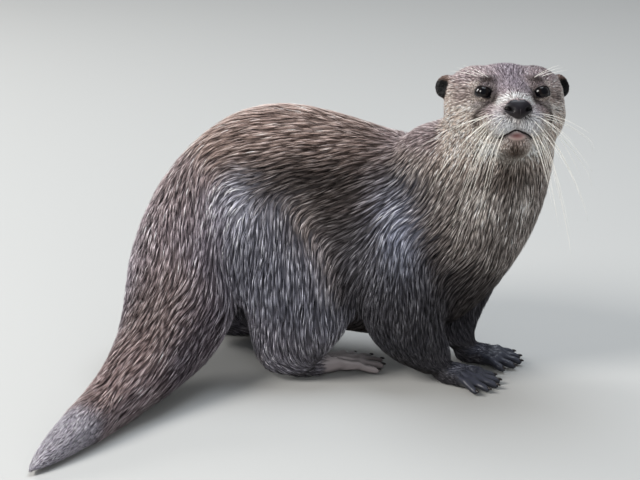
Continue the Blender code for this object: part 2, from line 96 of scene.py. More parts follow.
def head_axes():
    """The head's origin and its three axes as rows, from where the eyes and the nose are."""
    left, right, nose = centre("eye_left"), centre("eye_right"), centre("nose")
    between = (left + right) / 2
    across = unit(left - right)
    towards_nose = unit(nose - between)
    drop = math.atan2(NOSE_BELOW_EYES, NOSE_PAST_EYES)
    up = unit(np.cross(towards_nose, across))
    ahead = towards_nose * math.cos(drop) + up * math.sin(drop)
    above = np.cross(ahead, across)
    axes = np.array([ahead, across, above])
    return between - ahead * EYE_AHEAD - above * EYE_ABOVE, axes


HEAD_ORIGIN, HEAD_AXES = head_axes()


def to_head(points):
    return (points - HEAD_ORIGIN) @ HEAD_AXES.T


def from_head(points):
    return np.asarray(points) @ HEAD_AXES + HEAD_ORIGIN


def from_head_direction(vectors):
    return np.asarray(vectors) @ HEAD_AXES


def ramp(values, start, end):
    """0 before start, 1 after end, and smooth between. Start may be the larger."""
    t = np.clip((values - start) / (end - start), 0, 1)
    return t * t * (3 - 2 * t)


def nearest(tree, points):
    """For each point, the nearest place on a surface, and the index of the face that it is on."""
    found = [tree.find_nearest(point) for point in points.tolist()]
    return np.array([hit[0] for hit in found]), np.array([hit[2] for hit in found])


def bump(points, middle, sizes):
    """A soft mask, 1 at the middle, that falls off over the sizes along each axis."""
    return np.exp(-(((points - np.array(middle)) / np.array(sizes)) ** 2).sum(-1))


# ---------------------------------------------------------------- the coat's rules

def linear(colour):
    """A colour as seen, 0 to 255, in the renderer's linear values."""
    share = np.asarray(colour, float) / 255
    return np.where(share <= 0.04045, share / 12.92, ((share + 0.055) / 1.055) ** 2.4)


class Coat:
    """How the fur lies on one part of the body. Sizes are in metres, colours as seen, 0 to 255."""

    def __init__(self, towards, fall, depth, length, width, top, side, under):
        self.towards = towards  # a node, or a direction
        self.fall = fall  # share of straight down in the lie of the coat
        self.depth = depth
        self.length = length
        self.width = width
        # colours facing up, sideways and down: lighter on top and darker underneath is partly painted light
        # and shade
        self.top = top
        self.side = side
        self.under = under

    def colours(self):
        """The three colours' linear values, one after another."""
        return np.concatenate([linear(colour) for colour in (self.top, self.side, self.under)])


COATS = {
    "tail_tip": Coat(
        (-0.38, -0.92, -0.1), 0.05, 0.0016, 0.019, 0.0018,
        (186, 179, 190), (170, 164, 176), (92, 87, 93),
    ),
    "tail_middle": Coat(
        "tail_tip", 0.10, 0.0030, 0.024, 0.0029,
        (146, 124, 121), (130, 114, 117), (80, 72, 72),
    ),
    "tail_base": Coat(
        "tail_middle", 0.15, 0.0036, 0.023, 0.0030,
        (132, 114, 111), (114, 103, 110), (72, 66, 68),
    ),
    "rump": Coat(
        "tail_base", 0.20, 0.0040, 0.023, 0.0029,
        (152, 131, 127), (152, 141, 151), (78, 71, 76),
    ),
    "belly": Coat(
        "rump", 0.05, 0.0040, 0.023, 0.0029,
        (166, 142, 132), (62, 57, 57), (48, 44, 45),
    ),
    "chest": Coat(
        "belly", 0.45, 0.0036, 0.022, 0.0028,
        (136, 114, 105), (68, 62, 62), (50, 44, 41),
    ),
    "neck": Coat(
        "chest", 0.60, 0.0036, 0.020, 0.0025,
        (118, 103, 97), (140, 130, 124), (122, 114, 107),
    ),
    "head": Coat(
        (-1.0, 0.0, 0.0), 0.00, 0.0019, 0.0092, 0.0020,
        (158, 139, 139), (218, 200, 187), (190, 180, 168),
    ),
    "ear": Coat(
        (-0.3, 0.0, 1.0), 0.00, 0.0005, 0.0032, 0.0010,
        (104, 80, 68), (84, 62, 52), (30, 24, 22),
    ),
    "upper_arm": Coat(
        "forearm", 0.30, 0.0028, 0.017, 0.0025,
        (92, 94, 107), (67, 65, 70), (36, 33, 34),
    ),
    "forearm": Coat(
        "forepaw", 0.60, 0.0018, 0.011, 0.0020,
        (64, 64, 71), (56, 55, 61), (33, 31, 32),
    ),
    "forepaw": Coat(
        (0.93, -0.35, -0.1), 0.00, 0.0004, 0.0036, 0.0010,
        (58, 60, 70), (38, 39, 46), (18, 17, 19),
    ),
    "thigh": Coat(
        "shank", 0.90, 0.0040, 0.023, 0.0030,
        (136, 131, 138), (119, 119, 131), (56, 54, 58),
    ),
    "shank": Coat(
        "hind_foot", 0.90, 0.0030, 0.019, 0.0027,
        (126, 122, 132), (126, 122, 132), (60, 57, 60),
    ),
    "hind_foot": Coat(
        (0.95, 0.30, -0.05), 0.00, 0.0004, 0.0036, 0.0010,
        (170, 162, 162), (134, 126, 126), (46, 41, 42),
    ),
}


def coat_of(node):
    """The rules for a CAD node and the side it is on, as the suffix of its name."""
    for side in ("_left", "_right"):
        if node.endswith(side):
            return COATS[node[: -len(side)]], side
    return COATS[node], ""


def lie_of(node):
    """The general lie of the coat on a node, as a direction."""
    coat, side = coat_of(node)
    if isinstance(coat.towards, str):
        target = coat.towards if coat.towards in FLESH else coat.towards + side
        along = unit(centre(target) - centre(node))
    elif node == "head" or node.startswith("ear"):
        along = from_head_direction(coat.towards)
    else:
        along = unit(np.array(coat.towards))
    return unit(along * (1 - coat.fall) + np.array((0, 0, -1.0)) * coat.fall)


def tube(middle, reach, sides):
    """Points and triangles of a closed tube along a line, with a radius at each point of it."""
    ahead = unit(np.gradient(middle, axis=0))
    across = unit(np.cross(ahead, (0.3, 0.2, 1.0)))
    above = np.cross(ahead, across)
    turns = np.linspace(0, math.tau, sides, endpoint=False)
    rings = [middle + (across * math.cos(turn) + above * math.sin(turn)) * reach[:, None] for turn in turns]
    points = np.stack(rings, 1).reshape(-1, 3)
    last = (len(middle) - 1) * sides
    faces = []
    for row in range(len(middle) - 1):
        for side in range(sides):
            a, b = row * sides + side, row * sides + (side + 1) % sides
            faces += [(a, b, b + sides), (a, b + sides, a + sides)]
    for side in range(1, sides - 1):
        faces.append((0, side + 1, side))
        faces.append((last, last + side, last + side + 1))
    return points, np.array(faces)


# ---------------------------------------------------------------- meshes as arrays

def positions(mesh):
    co = np.empty(len(mesh.vertices) * 3, np.float32)
    mesh.vertices.foreach_get("co", co)
    return co.reshape(-1, 3).astype(float)


def set_positions(mesh, points):
    mesh.vertices.foreach_set("co", points.astype(np.float32).ravel())
    mesh.update()


def edges_of(mesh):
    edges = np.empty(len(mesh.edges) * 2, np.int32)
    mesh.edges.foreach_get("vertices", edges)
    return edges.reshape(-1, 2)


def relaxed(values, edges, rounds, strength=0.5):
    """Values on vertices after rounds of averaging with their neighbours. Strength may differ by vertex."""
    values = values.copy()
    strength = np.broadcast_to(strength, len(values))[:, None]
    count = np.bincount(edges.ravel(), minlength=len(values))[:, None]
    for _ in range(rounds):
        total = np.empty_like(values)
        for k in range(values.shape[1]):
            column = values[:, k]
            total[:, k] = np.bincount(edges[:, 0], column[edges[:, 1]], len(values))
            total[:, k] += np.bincount(edges[:, 1], column[edges[:, 0]], len(values))
        values += (total / np.maximum(count, 1) - values) * strength
    return values


def add_object(name, data):
    made = bpy.data.objects.new(name, data)
    bpy.context.scene.collection.objects.link(made)
    return made


def evaluated(thing):
    """A new mesh of an object with its modifiers applied. The object is removed."""
    graph = bpy.context.evaluated_depsgraph_get()
    mesh = bpy.data.meshes.new_from_object(thing.evaluated_get(graph))
    bpy.data.objects.remove(thing)
    return mesh


def triangle_mesh(name, points, triangles):
    """A mesh from arrays of points and of corner indices, three to a face."""
    mesh = bpy.data.meshes.new(name)
    mesh.vertices.add(len(points))
    mesh.vertices.foreach_set("co", points.astype(np.float32).ravel())
    mesh.loops.add(len(triangles) * 3)
    mesh.loops.foreach_set("vertex_index", triangles.astype(np.int32).ravel())
    mesh.polygons.add(len(triangles))
    mesh.polygons.foreach_set("loop_start", np.arange(0, len(triangles) * 3, 3, dtype=np.int32))
    mesh.polygons.foreach_set("use_smooth", np.full(len(triangles), True))
    mesh.update(calc_edges=True)
    return mesh


def shown(name, points, triangles, material, colours=None, replaced=()):
    """The mesh of a new piece on the root body, with its colours, if it has any, on its points."""
    mesh = triangle_mesh(name, points, triangles)
    if colours is not None:
        layer = mesh.color_attributes.new("Coat", "FLOAT_COLOR", "POINT")
        values = np.ones((len(colours), 4), np.float32)
        values[:, :3] = colours
        layer.data.foreach_set("color", values.ravel())
    mesh.materials.append(material)
    piece = add_object(name, mesh)
    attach(piece, "root")
    if replaced:
        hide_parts(*replaced)
    return mesh


# ---------------------------------------------------------------- one body from the CAD nodes

# Each foot: ankle on the floor, heading from +X in degrees, side of its first digit, sizes as below
FEET = {
    "forepaw_right": ((0.1086, 0.0273), -26.0, 1, "fore"),
    "forepaw_left": ((0.1296, 0.0753), -14.0, -1, "fore"),
    "hind_foot_right": ((-0.0144, 0.0363), 22.0, 1, "hind"),
    "hind_foot_left": ((-0.0804, 0.1453), 8.0, -1, "hind"),
}
FOOT_SIZES = {"fore": (0.030, 0.0145, 0.027), "hind": (0.055, 0.0140, 0.032)}  # palm, half width, digit
FUR_ENDS = {"fore": (0.027, 0.014), "hind": (0.024, 0.010)}  # where the fur thins out, ahead of the ankle
DIGIT_REACH = (0.78, 0.96, 1.0, 0.97, 0.84)  # each digit's share of the longest, inner to outer
DIGIT_FAN = (-28.0, -13.0, 0.0, 13.0, 27.0)  # each digit's heading in the paw, in degrees
# Along a digit: share of its length, height above the floor, radius
KNUCKLES = (
    (-0.85, 0.0095, 0.0030),
    (-0.30, 0.0112, 0.0036),
    (0.00, 0.0098, 0.0041),
    (0.16, 0.0088, 0.0037),
    (0.34, 0.0088, 0.0045),
    (0.55, 0.0064, 0.0034),
    (0.76, 0.0050, 0.0043),
    (0.95, 0.0036, 0.0034),
)


def foot_axes(heading):
    """Ahead and to the left of a foot that points a number of degrees from +X."""
    turn = math.radians(heading)
    return np.array((math.cos(turn), math.sin(turn), 0)), np.array((-math.sin(turn), math.cos(turn), 0))


def digits(foot):
    """For each digit of a foot: its root over the floor and the way it points, in the whole frame."""
    place, heading, inner, kind = FEET[foot]
    palm, half, digit = FOOT_SIZES[kind]
    ahead, aside = foot_axes(heading)
    found = []
    for k, (share, fan) in enumerate(zip(DIGIT_REACH, DIGIT_FAN)):
        angle = -math.radians(fan) * inner
        root = np.array((*place, 0)) + ahead * palm * (0.90 - 0.05 * abs(k - 2))
        root = root + aside * half * 0.41 * (2 - k) * inner
        found.append((root, ahead * math.cos(angle) + aside * math.sin(angle), digit * share))
    return found


def add_ball(bm, middle, sizes, turn=0.0):
    placing = Matrix.Translation(middle) @ Matrix.Rotation(turn, 4, "Z") @ Matrix.Diagonal((*sizes, 1))
    bmesh.ops.create_icosphere(bm, subdivisions=2, radius=1, matrix=placing)


def add_paw_flesh(bm):
    """Rounded backs, knuckles and finger tips over the CAD's flat feet."""
    for foot, (place, heading, _, kind) in FEET.items():
        palm, half, _ = FOOT_SIZES[kind]
        back = Vector((*place, 0.0088)) + Vector(foot_axes(heading)[0]) * palm * 0.52
        add_ball(bm, back, (palm * 0.62, half * 0.86, 0.0062), math.radians(heading))
        for root, ahead, length in digits(foot):
            steps = np.linspace(KNUCKLES[0][0], KNUCKLES[-1][0], 22)
            shares, heights, radii = zip(*KNUCKLES)
            heights, radii = np.interp(steps, shares, heights), np.interp(steps, shares, radii)
            for step, height, radius in zip(steps, heights, radii):
                spot = root + ahead * length * step
                add_ball(bm, (spot[0], spot[1], height), (radius, radius, radius * 0.92))


def joined_flesh():
    """The CAD nodes as one object, each grown a little so that they run into each other."""
    bm = bmesh.new()
    for name in [*FLESH, "eye_left", "eye_right", "nose"]:
        bm.from_mesh(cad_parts[name].data)
    bmesh.ops.remove_doubles(bm, verts=bm.verts[:], dist=1e-6)
    bmesh.ops.recalc_face_normals(bm, faces=bm.faces[:])
    bm.normal_update()
    for vertex in bm.verts:
        vertex.co += vertex.normal * SEAL
    add_paw_flesh(bm)
    mesh = bpy.data.meshes.new("flesh")
    bm.to_mesh(mesh)
    bm.free()
    return mesh


def fused(mesh, voxel):
    thing = add_object("fused", mesh)
    grain = thing.modifiers.new("Fuse", "REMESH")
    grain.mode = "VOXEL"
    grain.voxel_size = voxel
    return evaluated(thing)


class Guide:
    """A coarse body whose vertices carry the coat's rules, blended from each node into the next."""

    VOXEL = 0.0035  # grain of this body
    BLEND = 26  # rounds of averaging between nodes

    def __init__(self, flesh):
        mesh = fused(flesh, self.VOXEL)
        self.points = positions(mesh)
        self.edges = edges_of(mesh)
        corners = np.empty(len(mesh.polygons) * 4, np.int32)
        mesh.polygons.foreach_get("vertices", corners)
        self.faces = corners.reshape(-1, 4)
        self.tree = BVHTree.FromPolygons(self.points.tolist(), self.faces.tolist())
        self.node = self.nearest_nodes(self.points)
        rules = []
        for name in FLESH:
            coat, _ = coat_of(name)
            rules.append([coat.depth, coat.length, coat.width, *lie_of(name), *coat.colours()])
        values = np.array(rules)[self.node]
        values[:, 3:6] = self.head_lie(values[:, 3:6])
        self.values = relaxed(values, self.edges, self.BLEND)

    def nearest_nodes(self, points):
        """For each point, the index in FLESH of the CAD node whose surface is nearest."""
        corners, faces, owner = [], [], []
        for index, name in enumerate(FLESH):
            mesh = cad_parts[name].data
            start = sum(len(part) for part in corners)
            corners.append(positions(mesh))
            for polygon in mesh.polygons:
                faces.append([start + k for k in polygon.vertices])
                owner.append(index)
        self.node_tree = BVHTree.FromPolygons(np.concatenate(corners).tolist(), faces)
        self.node_owner = np.array(owner)
        return self.owners(points)

    def owners(self, points):
        return self.node_owner[nearest(self.node_tree, points)[1]]

    def head_lie(self, lie):
        """On the head, the coat parts at the nose and runs back over the crown and down over the cheeks."""
        names = np.array(FLESH)[self.node]
        on_head = np.isin(names, ["head", "ear_left", "ear_right"])
        place = to_head(self.points)
        side = np.sign(place[:, 1]) * ramp(np.abs(place[:, 1]), 0.0, 0.016)
        low = ramp(-place[:, 2], -0.004, 0.030)
        local = np.stack([-1.0 + 0.45 * low, 0.38 * side, -0.95 * low], -1)
        return np.where(on_head[:, None], from_head_direction(unit(local)), lie)

    def read(self, points):
        """The rules at each point: depth, length, width, lie, and the three colours of its Coat."""
        corners = self.faces[nearest(self.tree, points)[1]]
        gap = np.linalg.norm(self.points[corners] - points[:, None], axis=-1)
        weight = 1 / (gap + 1e-4) ** 2
        weight /= weight.sum(1, keepdims=True)
        return (self.values[corners] * weight[..., None]).sum(1)


# ---------------------------------------------------------------- markings, shared by skin and coat

LIPS = (  # from the corner of the mouth to its middle, on one side
    (0.0460, 0.0200, -0.0345),
    (0.0585, 0.0140, -0.0315),
    (0.0650, 0.0078, -0.0278),
    (0.0685, 0.0, -0.0250),
)


def gap_to_line(points, start, end):
    """How far each point is from the straight line between two places."""
    share = np.clip((points - start) @ (end - start) / ((end - start) @ (end - start)), 0, 1)
    return np.linalg.norm(points - start - share[:, None] * (end - start), axis=1)


def folded(place):
    """Places in the head's frame, with its right side laid over its left."""
    return np.stack([place[:, 0], np.abs(place[:, 1]), place[:, 2]], -1)


def along_line(place, start, end, width):
    """A soft mask round a straight line, with its mirror image across the head's middle."""
    gap = gap_to_line(folded(place), np.array(start), np.array(end))
    return np.exp(-((gap / width) ** 2))


def along_lips(place, width, first=0):
    """A soft mask round the line of the mouth, from one of the points of LIPS to the middle."""
    lips = LIPS[first:]
    return np.maximum.reduce([along_line(place, a, b, width) for a, b in zip(lips, lips[1:])])


def both_sides(place, middle, sizes):
    """A soft round mask with its mirror image across the head's middle."""
    return bump(folded(place), middle, sizes)


def ear_share(place, start, end):
    """1 on the ears, with the soft edge between two values of the mask round them."""
    return ramp(both_sides(place, (-0.004, 0.051, 0.0140), (0.015, 0.009, 0.013)), start, end)


def over(colours, mask, colour):
    return colours + (linear(colour) - colours) * mask[:, None]


NOSE_DROP = 0.0012  # how far the nose pad sits below the middle of the CAD nose
NOSE_BED = (0.0738, 0.0, -0.0080 - NOSE_DROP)


def face_markings(colours, place, facing):
    """The face's marks over the head's general colours. place and facing are in the head's frame."""
    on_head = ramp(place[:, 0], -0.030, 0.005) * ramp(place[:, 2] + 0.25 * place[:, 0], -0.050, -0.030)
    eye = np.array((EYE_AHEAD, EYE_ASIDE, EYE_ABOVE - EYE_DROP))
    marks = [
        # middle of the forehead
        (along_line(place, (0.010, 0.000, 0.036), (0.055, 0.000, 0.010), 0.016), (124, 112, 124), 0.80),
        # muzzle
        (both_sides(place, (0.069, 0.0080, -0.0205), (0.011, 0.0105, 0.0095)), (244, 246, 252), 0.95),
        # pale streak and dark streak on the cheek, white band over the nose
        (along_line(place, (0.050, 0.024, -0.0060), (0.028, 0.039, -0.0045), 0.0036), (240, 228, 216), 0.85),
        (along_line(place, (0.047, 0.033, -0.0170), (0.034, 0.039, -0.0250), 0.0040), (92, 70, 60), 0.65),
        (along_line(place, (0.0665, 0.0, 0.0004), (0.0610, 0.0115, -0.0026), 0.0035), (255, 250, 246), 1.0),
        # over the eye
        (both_sides(place, (0.0440, 0.0205, 0.0150), (0.009, 0.0095, 0.0050)), (42, 24, 17), 1.0),
        # temple
        (both_sides(place, (0.030, 0.036, 0.0040), (0.012, 0.009, 0.0080)), (112, 94, 90), 0.8),
        # dark line from the inner corner of the eye down the cheek
        (along_line(place, (0.054, 0.0160, 0.0010), (0.0485, 0.031, -0.0150), 0.0044), (40, 25, 19), 1.0),
        # under the eye
        (both_sides(place, (0.0440, 0.0280, -0.0040), (0.006, 0.006, 0.0035)), (98, 92, 92), 0.8),
        # round the eye
        (both_sides(place, eye, (0.0100, 0.0105, 0.0048)), (34, 26, 26), 1.0),
        # inner corner of the eye, groove under the nose, pale jaw
        (both_sides(place, (0.0535, 0.0160, 0.0020), (0.006, 0.0046, 0.0058)), (40, 28, 25), 1.0),
        (along_line(place, (0.0730, 0.0, -0.0182), (0.0690, 0.0, -0.0245), 0.0012), (36, 28, 28), 0.95),
        (both_sides(place, (0.042, 0.0190, -0.0375), (0.014, 0.0085, 0.0065)), (255, 252, 244), 1.0),
        # stained chin
        (bump(place, (0.058, 0.0, -0.0400), (0.017, 0.0115, 0.0095)), (58, 32, 2), 1.0),
        # lower lip
        (bump(place, (0.0665, 0.0, -0.0295), (0.008, 0.0085, 0.0036)), (118, 80, 78), 1.0),
        # bed of the nose
        (ramp(bump(place, NOSE_BED, (0.0114, 0.0118, 0.0071)), 0.37, 0.54), (26, 21, 23), 1.0),
    ]
    for mask, colour, strength in marks:
        colours = over(colours, mask * strength * on_head, colour)
    colours = over(colours, along_lips(place, 0.0020) * 0.97, (20, 12, 13))
    ear = ear_share(place, 0.25, 0.45)
    colours = over(colours, ear, (116, 90, 78))
    # near-black in the ear's forward-facing opening: partly its dark skin, partly painted shade of the
    # hollow
    cup = np.hypot(np.abs(place[:, 1]) - 0.0500, place[:, 2] - 0.0125)
    return over(colours, ear * ramp(facing[:, 0], 0.0, 0.4) * ramp(cup, 0.0090, 0.0066), (4, 3, 3))


HIP_SHEEN_AND_TANGLE = np.array((-0.030, -0.010, 0.041))  # the painted bluish-white sheen on each hip, where the fur also tangles, from the middle of the thigh
SHOULDER_PAINTED_SHEEN = np.array((-0.006, 0.0, 0.038))  # painted blue-grey sheen on the shoulder, the sky's reflection, from the middle of the upper arm
NAPE_MARK = np.array((-0.036, 0.0, 0.010))  # the brown nape, from the middle of the neck
FLANK_MARK = np.array((-0.004, 0.0, 0.068))  # the dark flank, from between the upper arm and the thigh
THROAT_PAINTED_SHADOW = (0.028, 0.0, -0.056)  # painted shadow under the jaw, darkening the throat, in the head's frame
BREAST_PAINTED_SHADE = np.array((0.036, 0.0, 0.006))  # painted shade on the breast between the forelegs, from between the upper arms


# Directions, with turns for each metre, and starts of the waves that are added up
MOTTLING_WAVES = (
    (61, 23, -37, 0.3),
    (-29, 71, 43, 1.9),
    (83, -57, 31, 4.1),
    (-47, -39, 97, 2.6),
    (131, 89, -71, 0.9),
)


def mottling(points):
    """Slow changes over the body, about -1 to 1, as where wet fur has clung together."""
    total = sum(np.sin(points @ np.array(wave[:3]) + wave[3]) for wave in MOTTLING_WAVES)
    return total / len(MOTTLING_WAVES)


def coat_colours(points, normals, rules):
    """The coat's colour at each point: its rules' three colours by the way it faces, partly painted light
    and shade, under the marks.
    """
    top, side, under = rules[:, 6:9], rules[:, 9:12], rules[:, 12:15]
    facing = normals[:, 2]
    # lighter on top and darker underneath: partly the coat's own colours, partly painted light and shade
    up = ramp(facing, 0.15, 0.85)[:, None]
    down = ramp(-facing, 0.25, 0.85)[:, None]
    colours = side + (top - side) * up
    colours = colours + (under - colours) * down
    colours = colours * (1 + 0.16 * mottling(points))[:, None]
    nape = bump(points, centre("neck") + NAPE_MARK, (0.030, 0.070, 0.044))
    colours = over(colours, nape * 0.42, (88, 73, 69))
    # painted shadow under the jaw
    colours = over(colours, bump(to_head(points), THROAT_PAINTED_SHADOW, (0.022, 0.034, 0.015)) * 0.85, (76, 64, 56))
    throat_side = both_sides(to_head(points), (0.015, 0.017, -0.076), (0.014, 0.009, 0.014))
    colours = over(colours, throat_side, (205, 195, 187))
    # painted shade between the forelegs
    breast = (centre("upper_arm_left") + centre("upper_arm_right")) / 2 + BREAST_PAINTED_SHADE
    colours = over(colours, bump(points, breast, (0.022, 0.040, 0.026)) * 0.6, (34, 29, 27))
    for name, _ in SIDES:
        thigh, arm = centre(f"thigh_{name}"), centre(f"upper_arm_{name}")
        flank = (thigh + arm) / 2
        marks = [
            (flank + FLANK_MARK, (0.062, 0.032, 0.028), 0.90, (50, 44, 42)),
            # painted highlight along the front edge of the thigh, in this mark and the next
            (thigh + (0.030, 0.0, 0.026), (0.014, 0.050, 0.018), 0.75, (156, 143, 138)),
            (thigh + (0.047, 0.0, -0.006), (0.014, 0.050, 0.022), 0.70, (146, 134, 130)),
            # painted blue-grey sheen on the shoulder
            (arm + SHOULDER_PAINTED_SHEEN, (0.019, 0.030, 0.034), 0.85, (174, 180, 202)),
            (flank + (0.020, -0.004, 0.000), (0.020, 0.034, 0.022), 0.55, (126, 124, 134)),
        ]
        for middle, sizes, strength, colour in marks:
            colours = over(colours, bump(points, middle, sizes) * strength, colour)
        # painted bluish-white sheen on the hip, mottled
        hip = bump(points, thigh + HIP_SHEEN_AND_TANGLE, (0.024, 0.045, 0.019)) * (0.7 + 0.5 * mottling(points * 2))
        colours = over(colours, np.clip(hip, 0, 1) * 0.90, (216, 216, 232))
    for place, heading, _, kind in FEET.values():
        toes = np.array((*place, 0.01)) + 0.080 * foot_axes(heading)[0]
        if kind == "hind":
            colours = over(colours, bump(points, toes, (0.022, 0.022, 0.022)) * 0.75, (66, 58, 57))
    return face_markings(colours, to_head(points), normals @ HEAD_AXES.T)


# ---------------------------------------------------------------- the skin

FACE_FROM = 0.022  # the skin is finest ahead of this, in the head's frame


def thinned_skin(mesh, fine):
    """The skin with fewer triangles, spared where fine is near 1."""
    thing = add_object("thinning", mesh)
    group = thing.vertex_groups.new(name="coarse")
    steps = np.round((1 - fine) * 4) / 4
    for step in np.unique(steps):
        members = np.flatnonzero(steps == step).tolist()
        group.add(members, max(0.1, float(step)), "REPLACE")
    thin = thing.modifiers.new("Thin", "DECIMATE")
    thin.ratio = SKIN_TRIANGLES / (2 * len(mesh.polygons))
    thin.vertex_group = group.name
    thin.vertex_group_factor = 0.00002
    return evaluated(thing)


def finer_face(mesh):
    """Splits the triangles of the face, so that lips and eyelids have an edge."""
    bm = bmesh.new()
    bm.from_mesh(mesh)
    bmesh.ops.triangulate(bm, faces=bm.faces[:])
    points = np.array([vertex.co for vertex in bm.verts])
    place = to_head(points)
    face = (place[:, 0] > FACE_FROM) & (place[:, 0] < 0.09)
    face &= (place[:, 2] > -0.052) & (np.abs(place[:, 1]) < 0.036)
    edges = [edge for edge in bm.edges if face[edge.verts[0].index] and face[edge.verts[1].index]]
    bmesh.ops.subdivide_edges(bm, edges=edges, cuts=1, use_grid_fill=True)
    bmesh.ops.triangulate(bm, faces=bm.faces[:])
    made = bpy.data.meshes.new("skin")
    bm.to_mesh(made)
    bm.free()
    return made


def carved(points, normals):
    """Lips, the groove under the nose, whisker pads and the bed of the nose, cut into the face."""
    place = to_head(points)
    depth = 0.0030 * along_lips(place, 0.0013)
    depth += 0.0010 * along_line(place, (0.0730, 0.0, -0.0165), (0.0695, 0.0, -0.0240), 0.0010)
    depth -= 0.0012 * bump(place, (0.0660, 0.0, -0.0305), (0.010, 0.0100, 0.0026))  # lower lip
    depth -= 0.0014 * both_sides(place, (0.0640, 0.0115, -0.0215), (0.012, 0.0070, 0.0055))  # whisker pads
    for foot in FEET:
        toes = digits(foot)
        for (root, ahead, length), (root_2, ahead_2, length_2) in zip(toes, toes[1:]):
            start = (root - ahead * length * 0.55 + root_2 - ahead_2 * length_2 * 0.55) / 2
            end = (root + ahead * length * 0.25 + root_2 + ahead_2 * length_2 * 0.25) / 2
            gap = gap_to_line(points * (1, 1, 0), start, end)
            groove = 0.0014 * np.exp(-((gap / 0.0013) ** 2))
            depth += groove * ramp(points[:, 2], 0.004, 0.008) * (points[:, 2] < 0.03)
    depth += 0.0034 * ramp(bump(place, NOSE_BED, (0.0115, 0.0118, 0.0074)), 0.42, 0.62)
    return points - normals * depth[:, None]


def socketed(points):
    """The skin laid round each eyeball: behind it inside the lids, and clear of it outside them."""
    for _, side in SIDES:
        middle, outward = EYE_MIDDLES[side], EYE_AXES[side]
        away = points - middle
        reach = np.linalg.norm(away, axis=1)
        ray = away / reach[:, None]
        angle, opening = lid_opening(ray, side)
        near = ramp(reach, 0.0140, 0.0108) * (ray @ outward > 0.1)
        past = np.degrees(angle - opening)
        inside = EYE_RADIUS - 0.0014
        rim = EYE_RADIUS + 0.0004
        wanted = np.where(past < 3, inside, rim + (np.maximum(reach, rim) - rim) * ramp(past, 4, 17))
        moved = middle + ray * wanted[:, None]
        points = points + (moved - points) * near[:, None]
    return points


def face_share(points):
    """1 on the face and the paws, where the skin keeps its finest triangles, and 0 on the trunk."""
    place = to_head(points)
    face = ramp(place[:, 0], -0.012, 0.010) * ramp(place[:, 2], -0.060, -0.045)
    ears = both_sides(place, (-0.004, 0.048, 0.0145), (0.016, 0.014, 0.016))
    paws = ramp(points[:, 2], 0.026, 0.018) * ramp(points[:, 1], 0.0, 0.01)
    return np.clip(face + ears + paws, 0, 1)


def heel_share(points, kind):
    """1 on the back of the feet of one kind, where the leg's fur runs on over them."""
    share = np.zeros(len(points))
    for place, heading, _, foot_kind in FEET.values():
        if foot_kind != kind:
            continue
        away = points - np.array((*place, 0.0))
        ahead = away @ foot_axes(heading)[0]
        near = (np.linalg.norm(away, axis=1) < 0.06) & (ahead > -0.030)
        share = np.maximum(share, near * ramp(ahead, *FUR_ENDS[kind]))
    return share * ramp(points[:, 2], 0.045, 0.030)


def bare_share(points):
    """1 where skin shows: paws, lips and soles."""
    names = np.array(FLESH)[GUIDE.owners(points)]
    on_paw = np.isin(names, [name for name in FLESH if "paw" in name or "foot" in name])
    on_paw = on_paw * (1 - heel_share(points, "hind")) * (1 - heel_share(points, "fore"))
    place = to_head(points)
    lower_lip = bump(place, (0.0665, 0.0, -0.0295), (0.010, 0.0085, 0.0040))
    lip = np.maximum(along_lips(place, 0.0020, 1), lower_lip)
    furry_wrist = ramp(points[:, 2], 0.011, 0.021) * 0.8
    return np.clip(on_paw * (1 - furry_wrist) + ramp(lip, 0.25, 0.6), 0, 1)


def lid_axes(side):
    """Across the front of an eye: towards its inner corner, and up."""
    outward = EYE_AXES[side]
    ahead = from_head_direction((1.0, 0.0, 0.15))
    ahead = unit(ahead - outward * (ahead @ outward))
    return ahead, np.cross(outward, ahead) * -side


def lid_shape(around):
    """How far open the lids are, in radians, at an angle round the eye from its inner corner."""
    degrees = 51 + 17 * np.cos(2 * around) + 5 * np.maximum(np.cos(around), 0) ** 6
    return np.radians(degrees - 3 * np.maximum(np.sin(around), 0))


def lid_opening(ray, side):
    """For directions from an eye's middle: the angle from its axis, and the lids' opening there."""
    ahead, above = lid_axes(side)
    angle = np.arccos(np.clip(ray @ EYE_AXES[side], -1, 1))
    return angle, lid_shape(np.arctan2(ray @ above, ray @ ahead))


# Across the fold of a lid: reach past the eyeball, degrees past the opening, and colour
LID_FOLD = (
    (-0.0002, 0, (14, 10, 10)),
    (0.0002, 0.5, (14, 10, 10)),
    (0.0006, 3, (26, 19, 18)),
    (0.0006, 7, (56, 47, 45)),
    (0.0002, 13, (70, 60, 57)),
    (-0.0020, 19, (40, 32, 31)),
    (-0.0016, 8, (14, 10, 10)),
)
LID_COLOURS = [colour for _, _, colour in LID_FOLD]


def lid(side):
    """Points and triangles of the rim of skin that holds an eye."""
    eye, outward = EYE_MIDDLES[side], EYE_AXES[side]
    ahead, above = lid_axes(side)
    around = np.linspace(0, math.tau, 56, endpoint=False)
    opening = lid_shape(around)
    points = []
    for reach, past, _ in LID_FOLD:
        angle = opening + math.radians(past)
        spread = np.cos(around)[:, None] * ahead + np.sin(around)[:, None] * above
        ray = np.cos(angle)[:, None] * outward + np.sin(angle)[:, None] * spread
        points.append(eye + ray * (EYE_RADIUS + reach))
    points = np.array(points)
    return points.reshape(-1, 3), grid_triangles(len(LID_FOLD), len(around), flip=side > 0)


LIP_EDGE_COLOURS = ((24, 15, 15),)  # one for the whole edge


